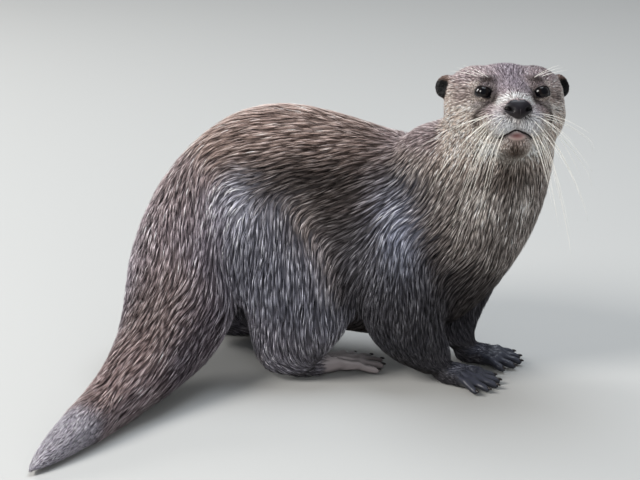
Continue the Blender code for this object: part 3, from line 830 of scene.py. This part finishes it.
def lip_edge(points, triangles):
    """Points and triangles of the dark edge of the upper lip, from one corner of the mouth to the other."""
    half = np.array(LIPS)
    path = np.concatenate([half, half[-2::-1] * (1, -1, 1)])
    steps = 34
    chain = np.stack([np.arange(steps - 1), np.arange(1, steps)], -1)
    share = np.linspace(0, len(path) - 1, steps)
    path = np.stack([np.interp(share, np.arange(len(path)), path[:, k]) for k in range(3)], -1)
    path = relaxed(path, chain, 3, 0.5)
    tree = BVHTree.FromPolygons(points.tolist(), triangles.tolist())
    ground = relaxed(nearest(tree, from_head(path))[0], chain, 2, 0.5)
    outward = unit(ground - from_head(path * (0.6, 0.2, 0.5)))
    middle = ground + outward * (0.0002 + 0.0006 * np.abs(np.linspace(-1, 1, steps)))[:, None]
    reach = 0.00075 * np.sin(np.linspace(0.25, math.pi - 0.25, steps)) ** 0.5
    return tube(middle, reach, 6)


def grid_triangles(rows, columns, flip=False):
    """Triangles of a grid of points that closes on itself both ways."""
    row, column = np.meshgrid(np.arange(rows), np.arange(columns), indexing="ij")
    next_row, next_column = (row + 1) % rows, (column + 1) % columns
    a, b = row * columns + column, row * columns + next_column
    c, d = next_row * columns + next_column, next_row * columns + column
    found = np.concatenate([np.stack([a, b, c], -1).reshape(-1, 3), np.stack([a, c, d], -1).reshape(-1, 3)])
    return found[:, ::-1] if flip else found


def triangles_of(mesh):
    found = np.empty(len(mesh.polygons) * 3, np.int32)
    mesh.polygons.foreach_get("vertices", found)
    return found.reshape(-1, 3)


def eye_axes(guide):
    """For each side, the way the eye looks: square to the head's surface there."""
    mesh_normals = point_normals(guide.points, guide.faces[:, :3])
    axes = {}
    for name, side in SIDES:
        gap = np.linalg.norm(guide.points - centre(f"eye_{name}"), axis=1)
        near = np.exp(-((gap / 0.009) ** 2))[:, None]
        axes[side] = unit(unit((mesh_normals * near).sum(0)) + from_head_direction((1.15, 0.0, 0.04)))
    return axes


def point_normals(points, triangles):
    corners = points[triangles]
    faces = np.cross(corners[:, 1] - corners[:, 0], corners[:, 2] - corners[:, 0])
    normals = np.zeros_like(points)
    for k in range(3):
        for axis in range(3):
            normals[:, axis] += np.bincount(triangles[:, k], faces[:, axis], len(points))
    return unit(normals)


def make_skin(flesh):
    """The whole body's skin, inside the CAD nodes by the coat's depth, with the folds of the face."""
    mesh = fused(flesh, SKIN_VOXEL)
    edges = edges_of(mesh)
    points = positions(mesh)
    fine = face_share(points)
    points = relaxed(points, edges, 6, 0.5 - 0.25 * fine)
    set_positions(mesh, points)
    mesh = thinned_skin(mesh, fine)
    mesh = finer_face(mesh)
    edges = edges_of(mesh)
    points = positions(mesh)
    points = relaxed(points, edges, 2, 0.5 - 0.3 * face_share(points))
    triangles = triangles_of(mesh)
    normals = point_normals(points, triangles)
    depth = GUIDE.read(points)[:, 0]
    place = to_head(points)
    depth *= 1 - 0.6 * ramp(place[:, 0], 0.045, 0.065)
    depth *= ramp(points[:, 2], -0.001, 0.008)
    points = points - normals * depth[:, None]
    points = relaxed(points, edges, 4, 0.5 - 0.35 * face_share(points))
    points = carved(points, point_normals(points, triangles))
    points = relaxed(points, edges, 1, 0.3)
    points = socketed(points)
    points[:, 2] = np.maximum(points[:, 2], 0.0002)
    return points, triangles


# ---------------------------------------------------------------- the coat

COAT_CLUMPS = 36500  # on the whole body
PIECE_CLUMPS = 4500  # most in one piece, which is then cut along the head's length
BLADES = 4  # in a clump
STEPS = 3  # steps that trace a clump's line over the skin
EAR_RULES = (0.0004, 0.0034, 0.0011)  # depth, length and width of the clumps on the ears
CELL = 0.004  # side of the cells in whose order the skin is sown
MAP_TRIANGLES = 4000  # of the copy of the skin that is unwrapped for the OFBake map
PATCH = 0.003  # side of a clump's patch on that map
GATHERED = 0.50  # how far the blades of a clump draw together at their tips
TONES = (0.60, 1.08, 1.28)  # brightness at root, middle and tip
STIFFNESS = 0.25  # how far a blade goes straight on where the skin curves away
FAN = 0.36  # how far the outer blades of a clump root from its middle, as a share of its width
HALF_WIDTHS = (0.08, 0.125)  # half a blade's width, as a share of its clump's
LOWEST, HIGHER = 0.76, 0.36  # lift of the lowest blades as a share of the depth, and what the top adds
DARKEST, LIGHTER = 0.14, 1.46  # brightness of the lowest blades, and what the top ones add: the darker undercoat, with painted shade under the top hairs
BLADE_UNEVEN, CLUMP_UNEVEN = 0.44, 0.10  # spread of brightness between blades and between clumps
BLEACH = 0.45  # how far the brightest blades lose their colour
EYE_CLEAR = 0.0112  # no tuft roots nearer an eye's middle, unless it is well outside the lids


def sown(points, triangles, normals, lies, rules, count):
    """Clump roots spread evenly over the furred skin: points, normals, lies and rules."""
    corners = points[triangles]
    area = np.linalg.norm(np.cross(corners[:, 1] - corners[:, 0], corners[:, 2] - corners[:, 0]), axis=1) / 2
    middle = corners.mean(1)
    mean_rules = rules[triangles].mean(1)
    density = area / (mean_rules[:, 1] * mean_rules[:, 2]) * furred(middle, normals[triangles].mean(1))
    cell = np.floor(middle / CELL).astype(int)
    snake = np.where(cell[:, 1] % 2 == 0, middle[:, 2], -middle[:, 2])
    order = np.lexsort((snake, cell[:, 1], cell[:, 0]))
    reached = np.cumsum(density[order])
    picks = (np.arange(count) + RANDOM.random(count)) / count * reached[-1]
    chosen = order[np.minimum(np.searchsorted(reached, picks), len(order) - 1)]
    u, v = RANDOM.random(count), RANDOM.random(count)
    swap = u + v > 1
    u, v = np.where(swap, 1 - u, u), np.where(swap, 1 - v, v)
    shares = np.stack([1 - u - v, u, v], -1)[..., None]
    picked = triangles[chosen]
    return [(values[picked] * shares).sum(1) for values in (points, normals, lies, rules)]


def furred(points, normals):
    """How densely tufts grow: none on eyes, nose, lips and soles, few on the paws."""
    place = to_head(points)
    share = np.ones(len(points))
    for _, side in SIDES:
        away = points - EYE_MIDDLES[side]
        reach = np.linalg.norm(away, axis=1)
        angle, opening = lid_opening(away / reach[:, None], side)
        share *= (reach > EYE_CLEAR) | (np.degrees(angle - opening) > 8)
    share *= 1 + 0.5 * ramp(place[:, 0], -0.010, 0.010)
    nose = (place - np.array(NOSE_BED)) / np.array((0.0085, 0.0108, 0.0068))
    nose[:, 1] *= 1 + 0.7 * ramp(-nose[:, 2], 0.0, 1.0)
    share *= (nose**2).sum(1) > 1
    share *= 1 - ramp(bare_share(points), 0.3, 0.8)
    share *= ~((points[:, 2] < 0.003) & (normals[:, 2] < -0.3))
    return share * (along_lips(place, 0.0020) < 0.35)


def settled(lies, normals):
    """Directions laid into the surface."""
    return unit(lies - normals * (lies * normals).sum(-1, keepdims=True))


def traced(tree, triangles, normals, lies, starts, start_normals, start_lies, length):
    """Lines over the skin that follow the lie of the coat: their points, normals and directions."""
    line, line_normals, line_lies = [starts], [start_normals], [start_lies]
    for _ in range(STEPS):
        ahead = line[-1] + line_lies[-1] * (length / STEPS)[:, None]
        places, faces = nearest(tree, ahead)
        corners = triangles[faces]
        line.append(places)
        line_normals.append(unit(normals[corners].mean(1)))
        turned = unit(lies[corners].mean(1)) * 0.5 + line_lies[-1] * 0.5
        line_lies.append(settled(turned, line_normals[-1]))
    return [np.stack(values, 1) for values in (line, line_normals, line_lies)]


def along(values, shares):
    """Values along each line, at shares of its length that differ by blade."""
    place = np.clip(shares, 0, 1) * STEPS
    first = np.minimum(place.astype(int), STEPS - 1)
    rows = np.arange(len(values))[:, None]
    start = values[rows, first]
    return start + (values[rows, first + 1] - start) * (place - first)[..., None]


def blades(trace, rules, shade):
    """Corner points and brightness of the blades of many clumps: two rings and a tip each."""
    count = len(rules)
    depth, length, width = (rules[:, k, None] for k in range(3))
    spread = (np.arange(BLADES) + RANDOM.random((count, BLADES))) / BLADES * 2 - 1
    root = RANDOM.uniform(0.0, 0.30, (count, BLADES))
    tip = RANDOM.uniform(0.80, 1.0, (count, BLADES))
    rank = RANDOM.random((count, BLADES))  # 0 for the undercoat, 1 for the hairs on top
    lift = (LOWEST + HIGHER * rank) * depth
    half = RANDOM.uniform(*HALF_WIDTHS, (count, BLADES)) * width
    uneven = np.exp(RANDOM.normal(-0.05, BLADE_UNEVEN, (count, BLADES)))
    shade = shade * (DARKEST + LIGHTER * rank) * uneven
    rings = len(TONES) - 1
    points = np.empty((count, BLADES, 3 * rings + 1, 3))
    bright = np.empty((count, BLADES, 3 * rings + 1))
    for ring, tone in enumerate(TONES):
        share = ring / rings
        middle, normal, ahead = (along(values, root + (tip - root) * share) for values in trace)
        across = unit(np.cross(normal, ahead))
        aside = spread * width * FAN * (1 - GATHERED * share)
        straight = trace[0][:, :1] + trace[2][:, :1] * (length * (root + (tip - root) * share))[..., None]
        leaving = np.maximum(((straight - middle) * normal).sum(-1), 0)
        rise = lift * (1 - (1 - share) ** 2.2) - 0.0003 * (1 - share) + STIFFNESS * leaving
        place = middle + across * aside[..., None] + normal * rise[..., None]
        first = 3 * ring
        bright[:, :, first:] = (shade * tone)[..., None]
        if ring == rings:
            points[:, :, first] = place
            break
        reach = half[..., None]
        points[:, :, first] = place - across * reach
        points[:, :, first + 1] = place + across * reach
        points[:, :, first + 2] = place + normal * reach * 0.8
    points[..., 2] = np.maximum(points[..., 2], 0.0004)
    return points, bright


BLADE_FACES = np.array((
    (0, 1, 4), (0, 4, 3), (1, 2, 5), (1, 5, 4), (2, 0, 3), (2, 3, 5),  # between the rings
    (3, 4, 6), (4, 5, 6), (5, 3, 6), (0, 2, 1),  # the tip and the root
))
# How a blade's corners spread over its clump's patch
BLADE_PLACES = ((-0.4, -0.5), (0.4, -0.5), (0.0, -0.5), (-0.4, 0.0), (0.4, 0.0), (0.0, 0.0), (0.0, 0.5))


def clumps(trace, rules, colours, patches):
    """Points, triangles, colours and map places of many clumps of blades, ready for one mesh."""
    shade = np.exp(RANDOM.normal(0, CLUMP_UNEVEN, (len(rules), 1)))
    points, bright = blades(trace, rules, shade)
    faces = np.arange(len(rules) * BLADES)[:, None, None] * points.shape[2] + BLADE_FACES
    tinted = colours[:, None, None] * bright[..., None]
    pale = tinted.mean(-1, keepdims=True)
    tinted = tinted + (pale - tinted) * (BLEACH * ramp(bright, 0.8, 2.2))[..., None]
    tinted = np.minimum(tinted, 0.95)
    places = patches[:, None, None] + np.array(BLADE_PLACES) * PATCH + np.zeros((1, BLADES, 1, 1))
    return [values.reshape(-1, values.shape[-1]) for values in (points, faces, tinted, places)]


def coat_piece(name, points, faces, tinted, places, material, slot):
    """One mesh of many blades, with the clumps' patches as its map."""
    mesh = shown(name, points, faces, material, tinted)
    layer = mesh.uv_layers.new(name="OFBake")
    layer.data.foreach_set("uv", places[faces.ravel()].astype(np.float32).ravel())


def skin_map(points, triangles):
    """A coarse copy of the skin, unwrapped: its search tree, and the place and map place of each corner."""
    thing = add_object("unwrap", triangle_mesh("unwrap", points, triangles))
    thin = thing.modifiers.new("Thin", "DECIMATE")
    thin.ratio = MAP_TRIANGLES / len(triangles)
    mesh = evaluated(thing)
    thing = add_object("unwrap", mesh)
    bpy.ops.object.select_all(action="DESELECT")
    bpy.context.view_layer.objects.active = thing
    thing.select_set(True)
    bpy.ops.object.mode_set(mode="EDIT")
    bpy.ops.mesh.select_all(action="SELECT")
    bpy.ops.uv.smart_project(angle_limit=math.radians(66), island_margin=0.012)
    bpy.ops.object.mode_set(mode="OBJECT")
    layer = np.empty(len(mesh.loops) * 2, np.float32)
    mesh.uv_layers.active.data.foreach_get("uv", layer)
    layer = layer.reshape(-1, 3, 2).astype(float)
    coarse, faces = positions(mesh), triangles_of(mesh)
    bpy.data.objects.remove(thing)
    return BVHTree.FromPolygons(coarse.tolist(), faces.tolist()), coarse[faces], layer


def map_places(skin_map_parts, points):
    """The place on the unwrapped skin that is nearest each point."""
    tree, corners, layer = skin_map_parts
    hits, faces = nearest(tree, points)
    a, b, c = corners[faces, 0], corners[faces, 1], corners[faces, 2]
    normal = np.cross(b - a, c - a)
    size = np.maximum((normal**2).sum(1), 1e-20)
    share_b = (np.cross(hits - a, c - a) * normal).sum(1) / size
    share_c = (np.cross(b - a, hits - a) * normal).sum(1) / size
    shares = np.clip(np.stack([1 - share_b - share_c, share_b, share_c], -1), 0, 1)[..., None]
    return np.clip((layer[faces] * shares).sum(1), PATCH, 1 - PATCH)


# Each coat piece: the CAD nodes whose skin it covers, and its material slot
COAT_PIECES = {
    "coat_head": (["head", "ear_left", "ear_right"], "fur_head"),
    "coat_neck": (["neck"], "fur_head"),
    "coat_chest": (["chest"], "fur_body"),
    "coat_belly": (["belly"], "fur_body"),
    "coat_rump": (["rump"], "fur_body"),
    "coat_tail": (["tail_base", "tail_middle", "tail_tip"], "fur_tail"),
    "coat_thighs": (["thigh_left", "thigh_right", "shank_left", "shank_right"], "fur_body"),
    "coat_arms": (["upper_arm_left", "upper_arm_right", "forearm_left", "forearm_right"], "fur_body"),
    "coat_feet": (["forepaw_left", "forepaw_right", "hind_foot_left", "hind_foot_right"], "bare_skin"),
}


# For each kind of foot: the leg whose colours its heel has, the clumps' sizes there, and how high they reach
HEELS = (
    ("hind", "shank", (0.0024, 0.013, 0.0025), 0.022),
    ("fore", "upper_arm", (0.0009, 0.007, 0.0016), 0.016),
)


def local_rules(points, rules):
    """The coat's rules, finer towards the nose, lips and eyes, and flat on the ears and heels."""
    rules = rules.copy()
    place = to_head(points)
    small = 0.50 * ramp(place[:, 0], 0.020, 0.062) + 0.45 * along_lips(place, 0.0050)
    for _, side in SIDES:
        small += 0.40 * ramp(-np.linalg.norm(points - EYE_MIDDLES[side], axis=1), -0.018, -0.009)
    small = np.clip(small, 0, 0.72) + 0.13 * along_lips(place, 0.0035)
    rules[:, 0] *= 1 - 0.7 * small
    rules[:, 1] *= 1 - small
    rules[:, 2] *= 1 - 0.75 * small
    rules[:, :3] += (np.array(EAR_RULES) - rules[:, :3]) * ear_share(place, 0.2, 0.5)[:, None]
    for kind, leg, sizes, low in HEELS:
        colours = COATS[leg].colours()
        heel = heel_share(points, kind)[:, None]
        rules[:, :3] += (np.array(sizes) - rules[:, :3]) * heel * (points[:, 2:] < low)
        rules[:, 6:] += (colours - rules[:, 6:]) * heel
    return rules


def lies_on(points, normals, rules):
    """The lie of the coat at each point: its rules' lie, slowly wandering, and parted round the eyes."""
    lies = settled(rules[:, 3:6], normals)
    wander = 0.09 * np.sin(points @ np.array((120, 90, -100)) + 2 * mottling(points))
    wander += 0.03 * np.sin(points @ np.array((-290, 160, 260)) + 2 * mottling(points))
    lies = unit(lies + np.cross(normals, lies) * wander[:, None])
    for _, side in SIDES:
        away = points - EYE_MIDDLES[side]
        gap = np.linalg.norm(away, axis=1)
        lies = lies + settled(away, normals) * (1.6 * ramp(-gap, -0.017, -0.009))[:, None]
    return settled(lies, normals)


def make_coat(points, triangles, material):
    normals = point_normals(points, triangles)
    rules = local_rules(points, GUIDE.read(points))
    lies = lies_on(points, normals, rules)
    tree = BVHTree.FromPolygons(points.tolist(), triangles.tolist())
    roots, root_normals, root_lies, root_rules = sown(points, triangles, normals, lies, rules, COAT_CLUMPS)
    root_normals = unit(root_normals)
    hips = [centre(f"thigh_{name}") + HIP_SHEEN_AND_TANGLE for name, _ in SIDES]
    tangled = sum(bump(roots, hip, (0.030, 0.045, 0.026)) for hip in hips)
    turn = RANDOM.normal(0, 0.07, len(roots))[:, None] * (1 + 5 * tangled)[:, None]
    root_lies = settled(root_lies + np.cross(root_normals, root_lies) * turn, root_normals)
    trace = traced(tree, triangles, normals, lies, roots, root_normals, root_lies, root_rules[:, 1])
    colours = coat_colours(roots, root_normals, root_rules)
    patches = map_places(skin_map(points, triangles), roots)
    owners = np.array(FLESH)[GUIDE.owners(roots)]
    for name, (nodes, slot) in COAT_PIECES.items():
        mine = np.flatnonzero(np.isin(owners, nodes))
        mine = mine[np.argsort(to_head(roots[mine])[:, 0])]
        parts = np.array_split(mine, -(-len(mine) // PIECE_CLUMPS))
        for number, part in enumerate(parts, 1):
            made = clumps([values[part] for values in trace], root_rules[part], colours[part], patches[part])
            coat_piece(name if len(parts) == 1 else f"{name}_{number}", *made, material, slot)


# ---------------------------------------------------------------- materials

def shader_of(name, roughness):
    material = bpy.data.materials.new(name)
    material.use_nodes = True
    shader = material.node_tree.nodes["Principled BSDF"]
    shader.inputs["Roughness"].default_value = roughness
    return material, shader


def attribute_node(material, name):
    node = material.node_tree.nodes.new("ShaderNodeAttribute")
    node.attribute_name = name
    return node


def painted(name, roughness, specular):
    """A material that shows its piece's own Coat colours, and its shader."""
    material, shader = shader_of(name, roughness)
    shader.inputs["Specular IOR Level"].default_value = specular
    coat = attribute_node(material, "Coat")
    material.node_tree.links.new(coat.outputs["Color"], shader.inputs["Base Color"])
    return material, shader


def texture_node(material, kind, scale):
    """A procedural texture laid out in the piece's own metres."""
    node = material.node_tree.nodes.new(kind)
    node.inputs["Scale"].default_value = scale
    where = material.node_tree.nodes.new("ShaderNodeTexCoord")
    material.node_tree.links.new(where.outputs["Object"], node.inputs["Vector"])
    return node


def bumped(material, shader, texture_output, strength, distance):
    node = material.node_tree.nodes.new("ShaderNodeBump")
    node.inputs["Strength"].default_value = strength
    node.inputs["Distance"].default_value = distance
    material.node_tree.links.new(texture_output, node.inputs["Height"])
    material.node_tree.links.new(node.outputs["Normal"], shader.inputs["Normal"])


def skin_material():
    """The skin's own colour and, where it is bare, a wet gloss with fine wrinkles."""
    material, shader = painted("skin", 0.5, 0.35)
    links = material.node_tree.links
    bare = attribute_node(material, "Bare")
    gloss = material.node_tree.nodes.new("ShaderNodeMapRange")
    gloss.inputs["To Min"].default_value = 0.62
    gloss.inputs["To Max"].default_value = 0.38
    links.new(bare.outputs["Fac"], gloss.inputs["Value"])
    links.new(gloss.outputs["Result"], shader.inputs["Roughness"])
    grain = texture_node(material, "ShaderNodeTexNoise", 700.0)
    grain.inputs["Detail"].default_value = 3.0
    bumped(material, shader, grain.outputs["Fac"], 0.25, 0.00012)
    return material


def nose_material():
    """Wet skin with the fine cells of a nose pad."""
    material, shader = painted("nose_skin", 0.36, 0.32)
    cells = texture_node(material, "ShaderNodeTexVoronoi", 1500.0)
    bumped(material, shader, cells.outputs["Distance"], 0.4, 0.00015)
    return material


def plain_material(name, colour, roughness):
    material, shader = shader_of(name, roughness)
    shader.inputs["Base Color"].default_value = (*linear(colour), 1.0)
    return material


# ---------------------------------------------------------------- eyes, nose and whiskers

def ball(rows, columns):
    """Directions over a sphere from pole to pole, and its triangles. The first pole is at +X."""
    angle = np.linspace(0, math.pi, rows)[:, None]
    around = np.linspace(0, math.tau, columns, endpoint=False)[None]
    ring = np.sin(angle)
    spots = np.stack([np.cos(angle) + 0 * around, ring * np.cos(around), ring * np.sin(around)], -1)
    spots = spots.reshape(-1, 3)
    faces = []
    for row in range(rows - 1):
        for column in range(columns):
            a, b = row * columns + column, row * columns + (column + 1) % columns
            c, d = b + columns, a + columns
            if row < rows - 2:
                faces.append((a, d, c))
            if row > 0:
                faces.append((a, c, b))
    spots[:columns] = (1, 0, 0)
    spots[-columns:] = (-1, 0, 0)
    return spots, np.array(faces)


def welded(points, triangles):
    """The same surface with coincident points made one."""
    _, first, index = np.unique(np.round(points, 7), axis=0, return_index=True, return_inverse=True)
    triangles = index.reshape(-1)[triangles]
    a, b, c = triangles.T
    return points[first], triangles[(a != b) & (b != c) & (a != c)]


def make_eyes():
    material, _ = painted("eyeball", 0.07, 0.26)
    spots, faces = ball(28, 48)
    for name, side in SIDES:
        middle, outward = EYE_MIDDLES[side], EYE_AXES[side]
        other = unit(np.cross(outward, (0, 0, 1.0)))
        axes = np.array([outward, other, np.cross(outward, other)])
        angle = np.degrees(np.arccos(np.clip(spots[:, 0], -1, 1)))
        radius = EYE_RADIUS * (0.975 + 0.035 * ramp(angle, 44, 20))
        points, triangles = welded(middle + (spots @ axes) * radius[:, None], faces)
        angle = np.degrees(np.arccos(np.clip(unit(points - middle) @ outward, -1, 1)))
        iris = ramp(angle, 20, 26) * ramp(-angle, -46, -38)
        colours = over(np.tile(linear((5, 5, 8)), (len(points), 1)), iris, (18, 12, 10))
        shown(f"eyeball_{name}", points, triangles, material, colours, [f"eye_{name}"])


NOSE_HALF = (0.0064, 0.0112, 0.0078)  # half the nose pad's depth, width and height
NOSE_LEAN = 12.0  # how far the nose pad's face leans back, in degrees


def make_nose():
    """The nose pad: wide wings above a narrow foot, with a slanting nostril in each wing."""
    spots, faces = ball(72, 96)
    x, y, z = spots.T
    aside = np.abs(y)
    width = 0.62 + 0.38 * ramp(z, -0.95, -0.05) - 0.10 * ramp(z, 0.45, 1.0)
    local = np.stack([x, y * width, z], -1)
    local[:, 2] += 0.10 * np.exp(-(((aside - 0.55) / 0.25) ** 2)) * ramp(z, 0.2, 0.8)
    local[:, 0] *= 1 - 0.20 * ramp(x, 0.3, 1.0)
    slant = z + 0.10 - 0.35 * (aside - 0.66)
    pit = np.exp(-(((aside - 0.66) / 0.20) ** 2) - ((slant / 0.20) ** 2)) * (x > 0)
    slit = np.exp(-(((aside - 0.84) / 0.20) ** 2) - (((z - 0.02) / 0.13) ** 2)) * (x > -0.1)
    hollow = np.clip(pit + 0.7 * slit, 0, 1)
    local[:, 0] -= 0.62 * hollow
    local[:, 0] += 0.12 * np.exp(-((aside / 0.30) ** 2)) * ramp(z, 0.5, -0.5) * ramp(x, 0.2, 0.8)
    groove = np.exp(-((y / 0.05) ** 2)) * ramp(z, 0.1, -0.4) * ramp(x, 0.2, 0.6)
    local[:, 0] -= 0.10 * groove
    sized = local * np.array(NOSE_HALF)
    lean = math.radians(NOSE_LEAN)
    turn = np.array(((math.cos(lean), 0, -math.sin(lean)), (0, 1, 0), (math.sin(lean), 0, math.cos(lean))))
    middle = to_head(centre("nose")[None])[0] - np.array((0, 0, NOSE_DROP))
    points = from_head(sized @ turn.T + middle)
    colours = over(np.tile(linear((22, 19, 24)), (len(z), 1)), ramp(-z, 0.0, 0.8), (22, 15, 17))
    # near-black in the nostrils: painted shade in the shallow pits
    colours = colours * (1 - 0.93 * np.clip(hollow * 1.4, 0, 1))[:, None]
    shown("nose_pad", points, faces, nose_material(), colours, ["nose"])


WHISKER_ROOM = 0.020  # how far the whiskers may reach past the CAD model's side


def strand(start, heading, length, droop, radius, steps=12):
    """Points and triangles of one tapering whisker that sinks along its length."""
    share = np.linspace(0, 1, steps)
    sinking = np.array((0, 0, -droop * length))
    middle = start + heading * length * share[:, None] + sinking * share[:, None] ** 2
    past = np.maximum(middle[:, 0] - CAD_HIGH[0] - WHISKER_ROOM / 3, 0)
    middle[:, 0] -= past - WHISKER_ROOM / 2 * (1 - np.exp(-past / (WHISKER_ROOM / 2)))
    return tube(middle, radius * (1 - 0.85 * share), 5)


def make_whiskers(tree):
    """Rows of whiskers on each side of the muzzle, and a few stiff hairs over each eye."""
    strands = []
    for _, side in SIDES:
        for row in range(5):
            for column in range(4):
                place = (0.067 - 0.0045 * column, side * (0.0105 + 0.0036 * column), -0.0150 - 0.0032 * row)
                fan = RANDOM.uniform(-0.14, 0.14, 3)
                heading = unit(np.array((0.36 - 0.22 * column, side * 0.80, -0.20 - 0.36 * row)) + fan)
                length = (0.035 + 0.0075 * column) * RANDOM.uniform(0.80, 1.12)
                strands.append((place, heading, length, 0.35 + 0.12 * row))
        for k in range(3):
            place = (0.040 - 0.004 * k, side * (0.018 + 0.003 * k), 0.0175)
            heading = unit(np.array((0.10 - 0.15 * k, side * (0.75 + 0.25 * k), 0.50)))
            strands.append((place, heading, 0.025, 0.15))
    points, faces, start = [], [], 0
    for place, heading, length, droop in strands:
        root, *_ = tree.find_nearest(from_head(place).tolist())
        made, shape = strand(np.array(root), from_head_direction(heading), length, droop, 0.00024)
        points.append(made)
        faces.append(shape + start)
        start += len(made)
    material = plain_material("whisker", (246, 242, 232), 0.4)
    shown("whiskers", np.concatenate(points), np.concatenate(faces), material)


def make_claws():
    """A blunt little nail on the top of each digit's end."""
    spots, faces = welded(*ball(9, 12))
    points, shapes = [], []
    for foot in FEET:
        for root, ahead, length in digits(foot):
            aside = np.array((-ahead[1], ahead[0], 0))
            dipped = unit(ahead - np.array((0, 0, 0.28)))
            axes = np.array([dipped, aside, unit(np.array((0, 0, 1)) + ahead * 0.28)])
            middle = root + ahead * length * 1.03 + np.array((0, 0, 0.0052))
            shapes.append(faces + len(points) * len(spots))
            points.append(middle + (spots * np.array((0.0024, 0.0013, 0.0010))) @ axes)
    material = plain_material("claw", (34, 28, 27), 0.32)
    shown("claws", np.concatenate(points), np.concatenate(shapes), material)


# ---------------------------------------------------------------- floor, light and camera

FLOOR_HALF = 8.0  # half the floor's side
VIEW_TARGET = (0.0076, 0.0913, 0.1055)  # what the camera looks at
VIEW_RISE = 17.0  # degrees the camera looks down
VIEW_DISTANCE = 1.8
VIEW_LENS, SENSOR = 116.4, 36.0  # millimetres


def area_light(name, place, target, size, power, colour):
    light = bpy.data.lights.new(name, "AREA")
    light.shape = "DISK"
    light.size = size
    light.energy = power
    light.color = colour
    made = add_object(name, light)
    made.location = place
    made.rotation_euler = (Vector(target) - Vector(place)).to_track_quat("-Z", "Y").to_euler()
    return made


def make_stage():
    floor = bpy.data.meshes.new("floor")
    corners = [(x * FLOOR_HALF, y * FLOOR_HALF, 0) for x, y in ((-1, -1), (1, -1), (1, 1), (-1, 1))]
    floor.from_pydata(corners, [], [(0, 1, 2, 3)])
    floor.materials.append(plain_material("floor", (178, 178, 175), 0.8))
    add_object("floor", floor)
    middle = (0.0, 0.05, 0.12)
    area_light("key", (-1.7, -0.9, 1.6), middle, 1.0, 56.0, (1.0, 0.97, 0.94))
    area_light("sky", (0.2, 0.6, 2.4), middle, 1.6, 44.0, (0.86, 0.92, 1.0))
    fill = area_light("fill", (0.6, -2.5, 0.7), middle, 1.4, 24.0, (0.97, 0.98, 1.0))
    fill.visible_glossy = False  # so that it adds no highlight to the eyes
    area_light("rim", (-1.7, 1.5, 1.0), middle, 0.9, 26.0, (1.0, 0.98, 0.96))
    world = bpy.data.worlds.new("studio")
    world.use_nodes = True
    background = world.node_tree.nodes["Background"]
    background.inputs["Color"].default_value = (0.86, 0.90, 0.95, 1)
    background.inputs["Strength"].default_value = 0.30
    bpy.context.scene.world = world
    bpy.context.scene.view_settings.view_transform = "Standard"


def make_camera():
    rise = math.radians(VIEW_RISE)
    camera = add_object("camera", bpy.data.cameras.new("camera"))
    camera.data.lens = VIEW_LENS
    camera.data.sensor_width = SENSOR
    target = Vector(VIEW_TARGET)
    camera.location = target + Vector((0, -math.cos(rise), math.sin(rise))) * VIEW_DISTANCE
    camera.rotation_euler = (target - camera.location).to_track_quat("-Z", "Y").to_euler()
    bpy.context.scene.camera = camera


# ---------------------------------------------------------------- the otter

def show_skin(points, triangles):
    """The skin as a shown piece, with the rims of the eyes and the coat's markings."""
    rules = local_rules(points, GUIDE.read(points))
    colours = coat_colours(points, point_normals(points, triangles), rules)
    bare = bare_share(points)
    # darker where fur covers it: partly the skin's own colour, partly painted shade under the coat
    colours = colours * (0.42 + 0.58 * bare)[:, None]
    extras = [(*lid(side), LID_COLOURS) for _, side in SIDES]
    extras.append((*lip_edge(points, triangles), LIP_EDGE_COLOURS))
    for more_points, more_faces, shades in extras:
        triangles = np.concatenate([triangles, more_faces + len(points)])
        points = np.concatenate([points, more_points])
        rings = np.repeat(linear(shades), len(more_points) // len(shades), axis=0)
        colours = np.concatenate([colours, rings])
        bare = np.concatenate([bare, np.full(len(more_points), 0.6)])
    mesh = shown("skin", points, triangles, skin_material(), colours, FLESH)
    layer = mesh.attributes.new("Bare", "FLOAT", "POINT")
    layer.data.foreach_set("value", bare.astype(np.float32))


FLESH_MESH = joined_flesh()
GUIDE = Guide(FLESH_MESH)
EYE_AXES = eye_axes(GUIDE)
EYE_LOWERED = from_head_direction((0.0, 0.0, -EYE_DROP))
EYE_MIDDLES = {side: centre(f"eye_{name}") - EYE_AXES[side] * EYE_SINK + EYE_LOWERED for name, side in SIDES}
SKIN_POINTS, SKIN_FACES = make_skin(FLESH_MESH)
show_skin(SKIN_POINTS, SKIN_FACES)
make_coat(SKIN_POINTS, SKIN_FACES, painted("coat", 0.38, 0.32)[0])
make_eyes()
make_nose()
make_whiskers(BVHTree.FromPolygons(SKIN_POINTS.tolist(), SKIN_FACES.tolist()))
make_claws()
make_stage()
make_camera()
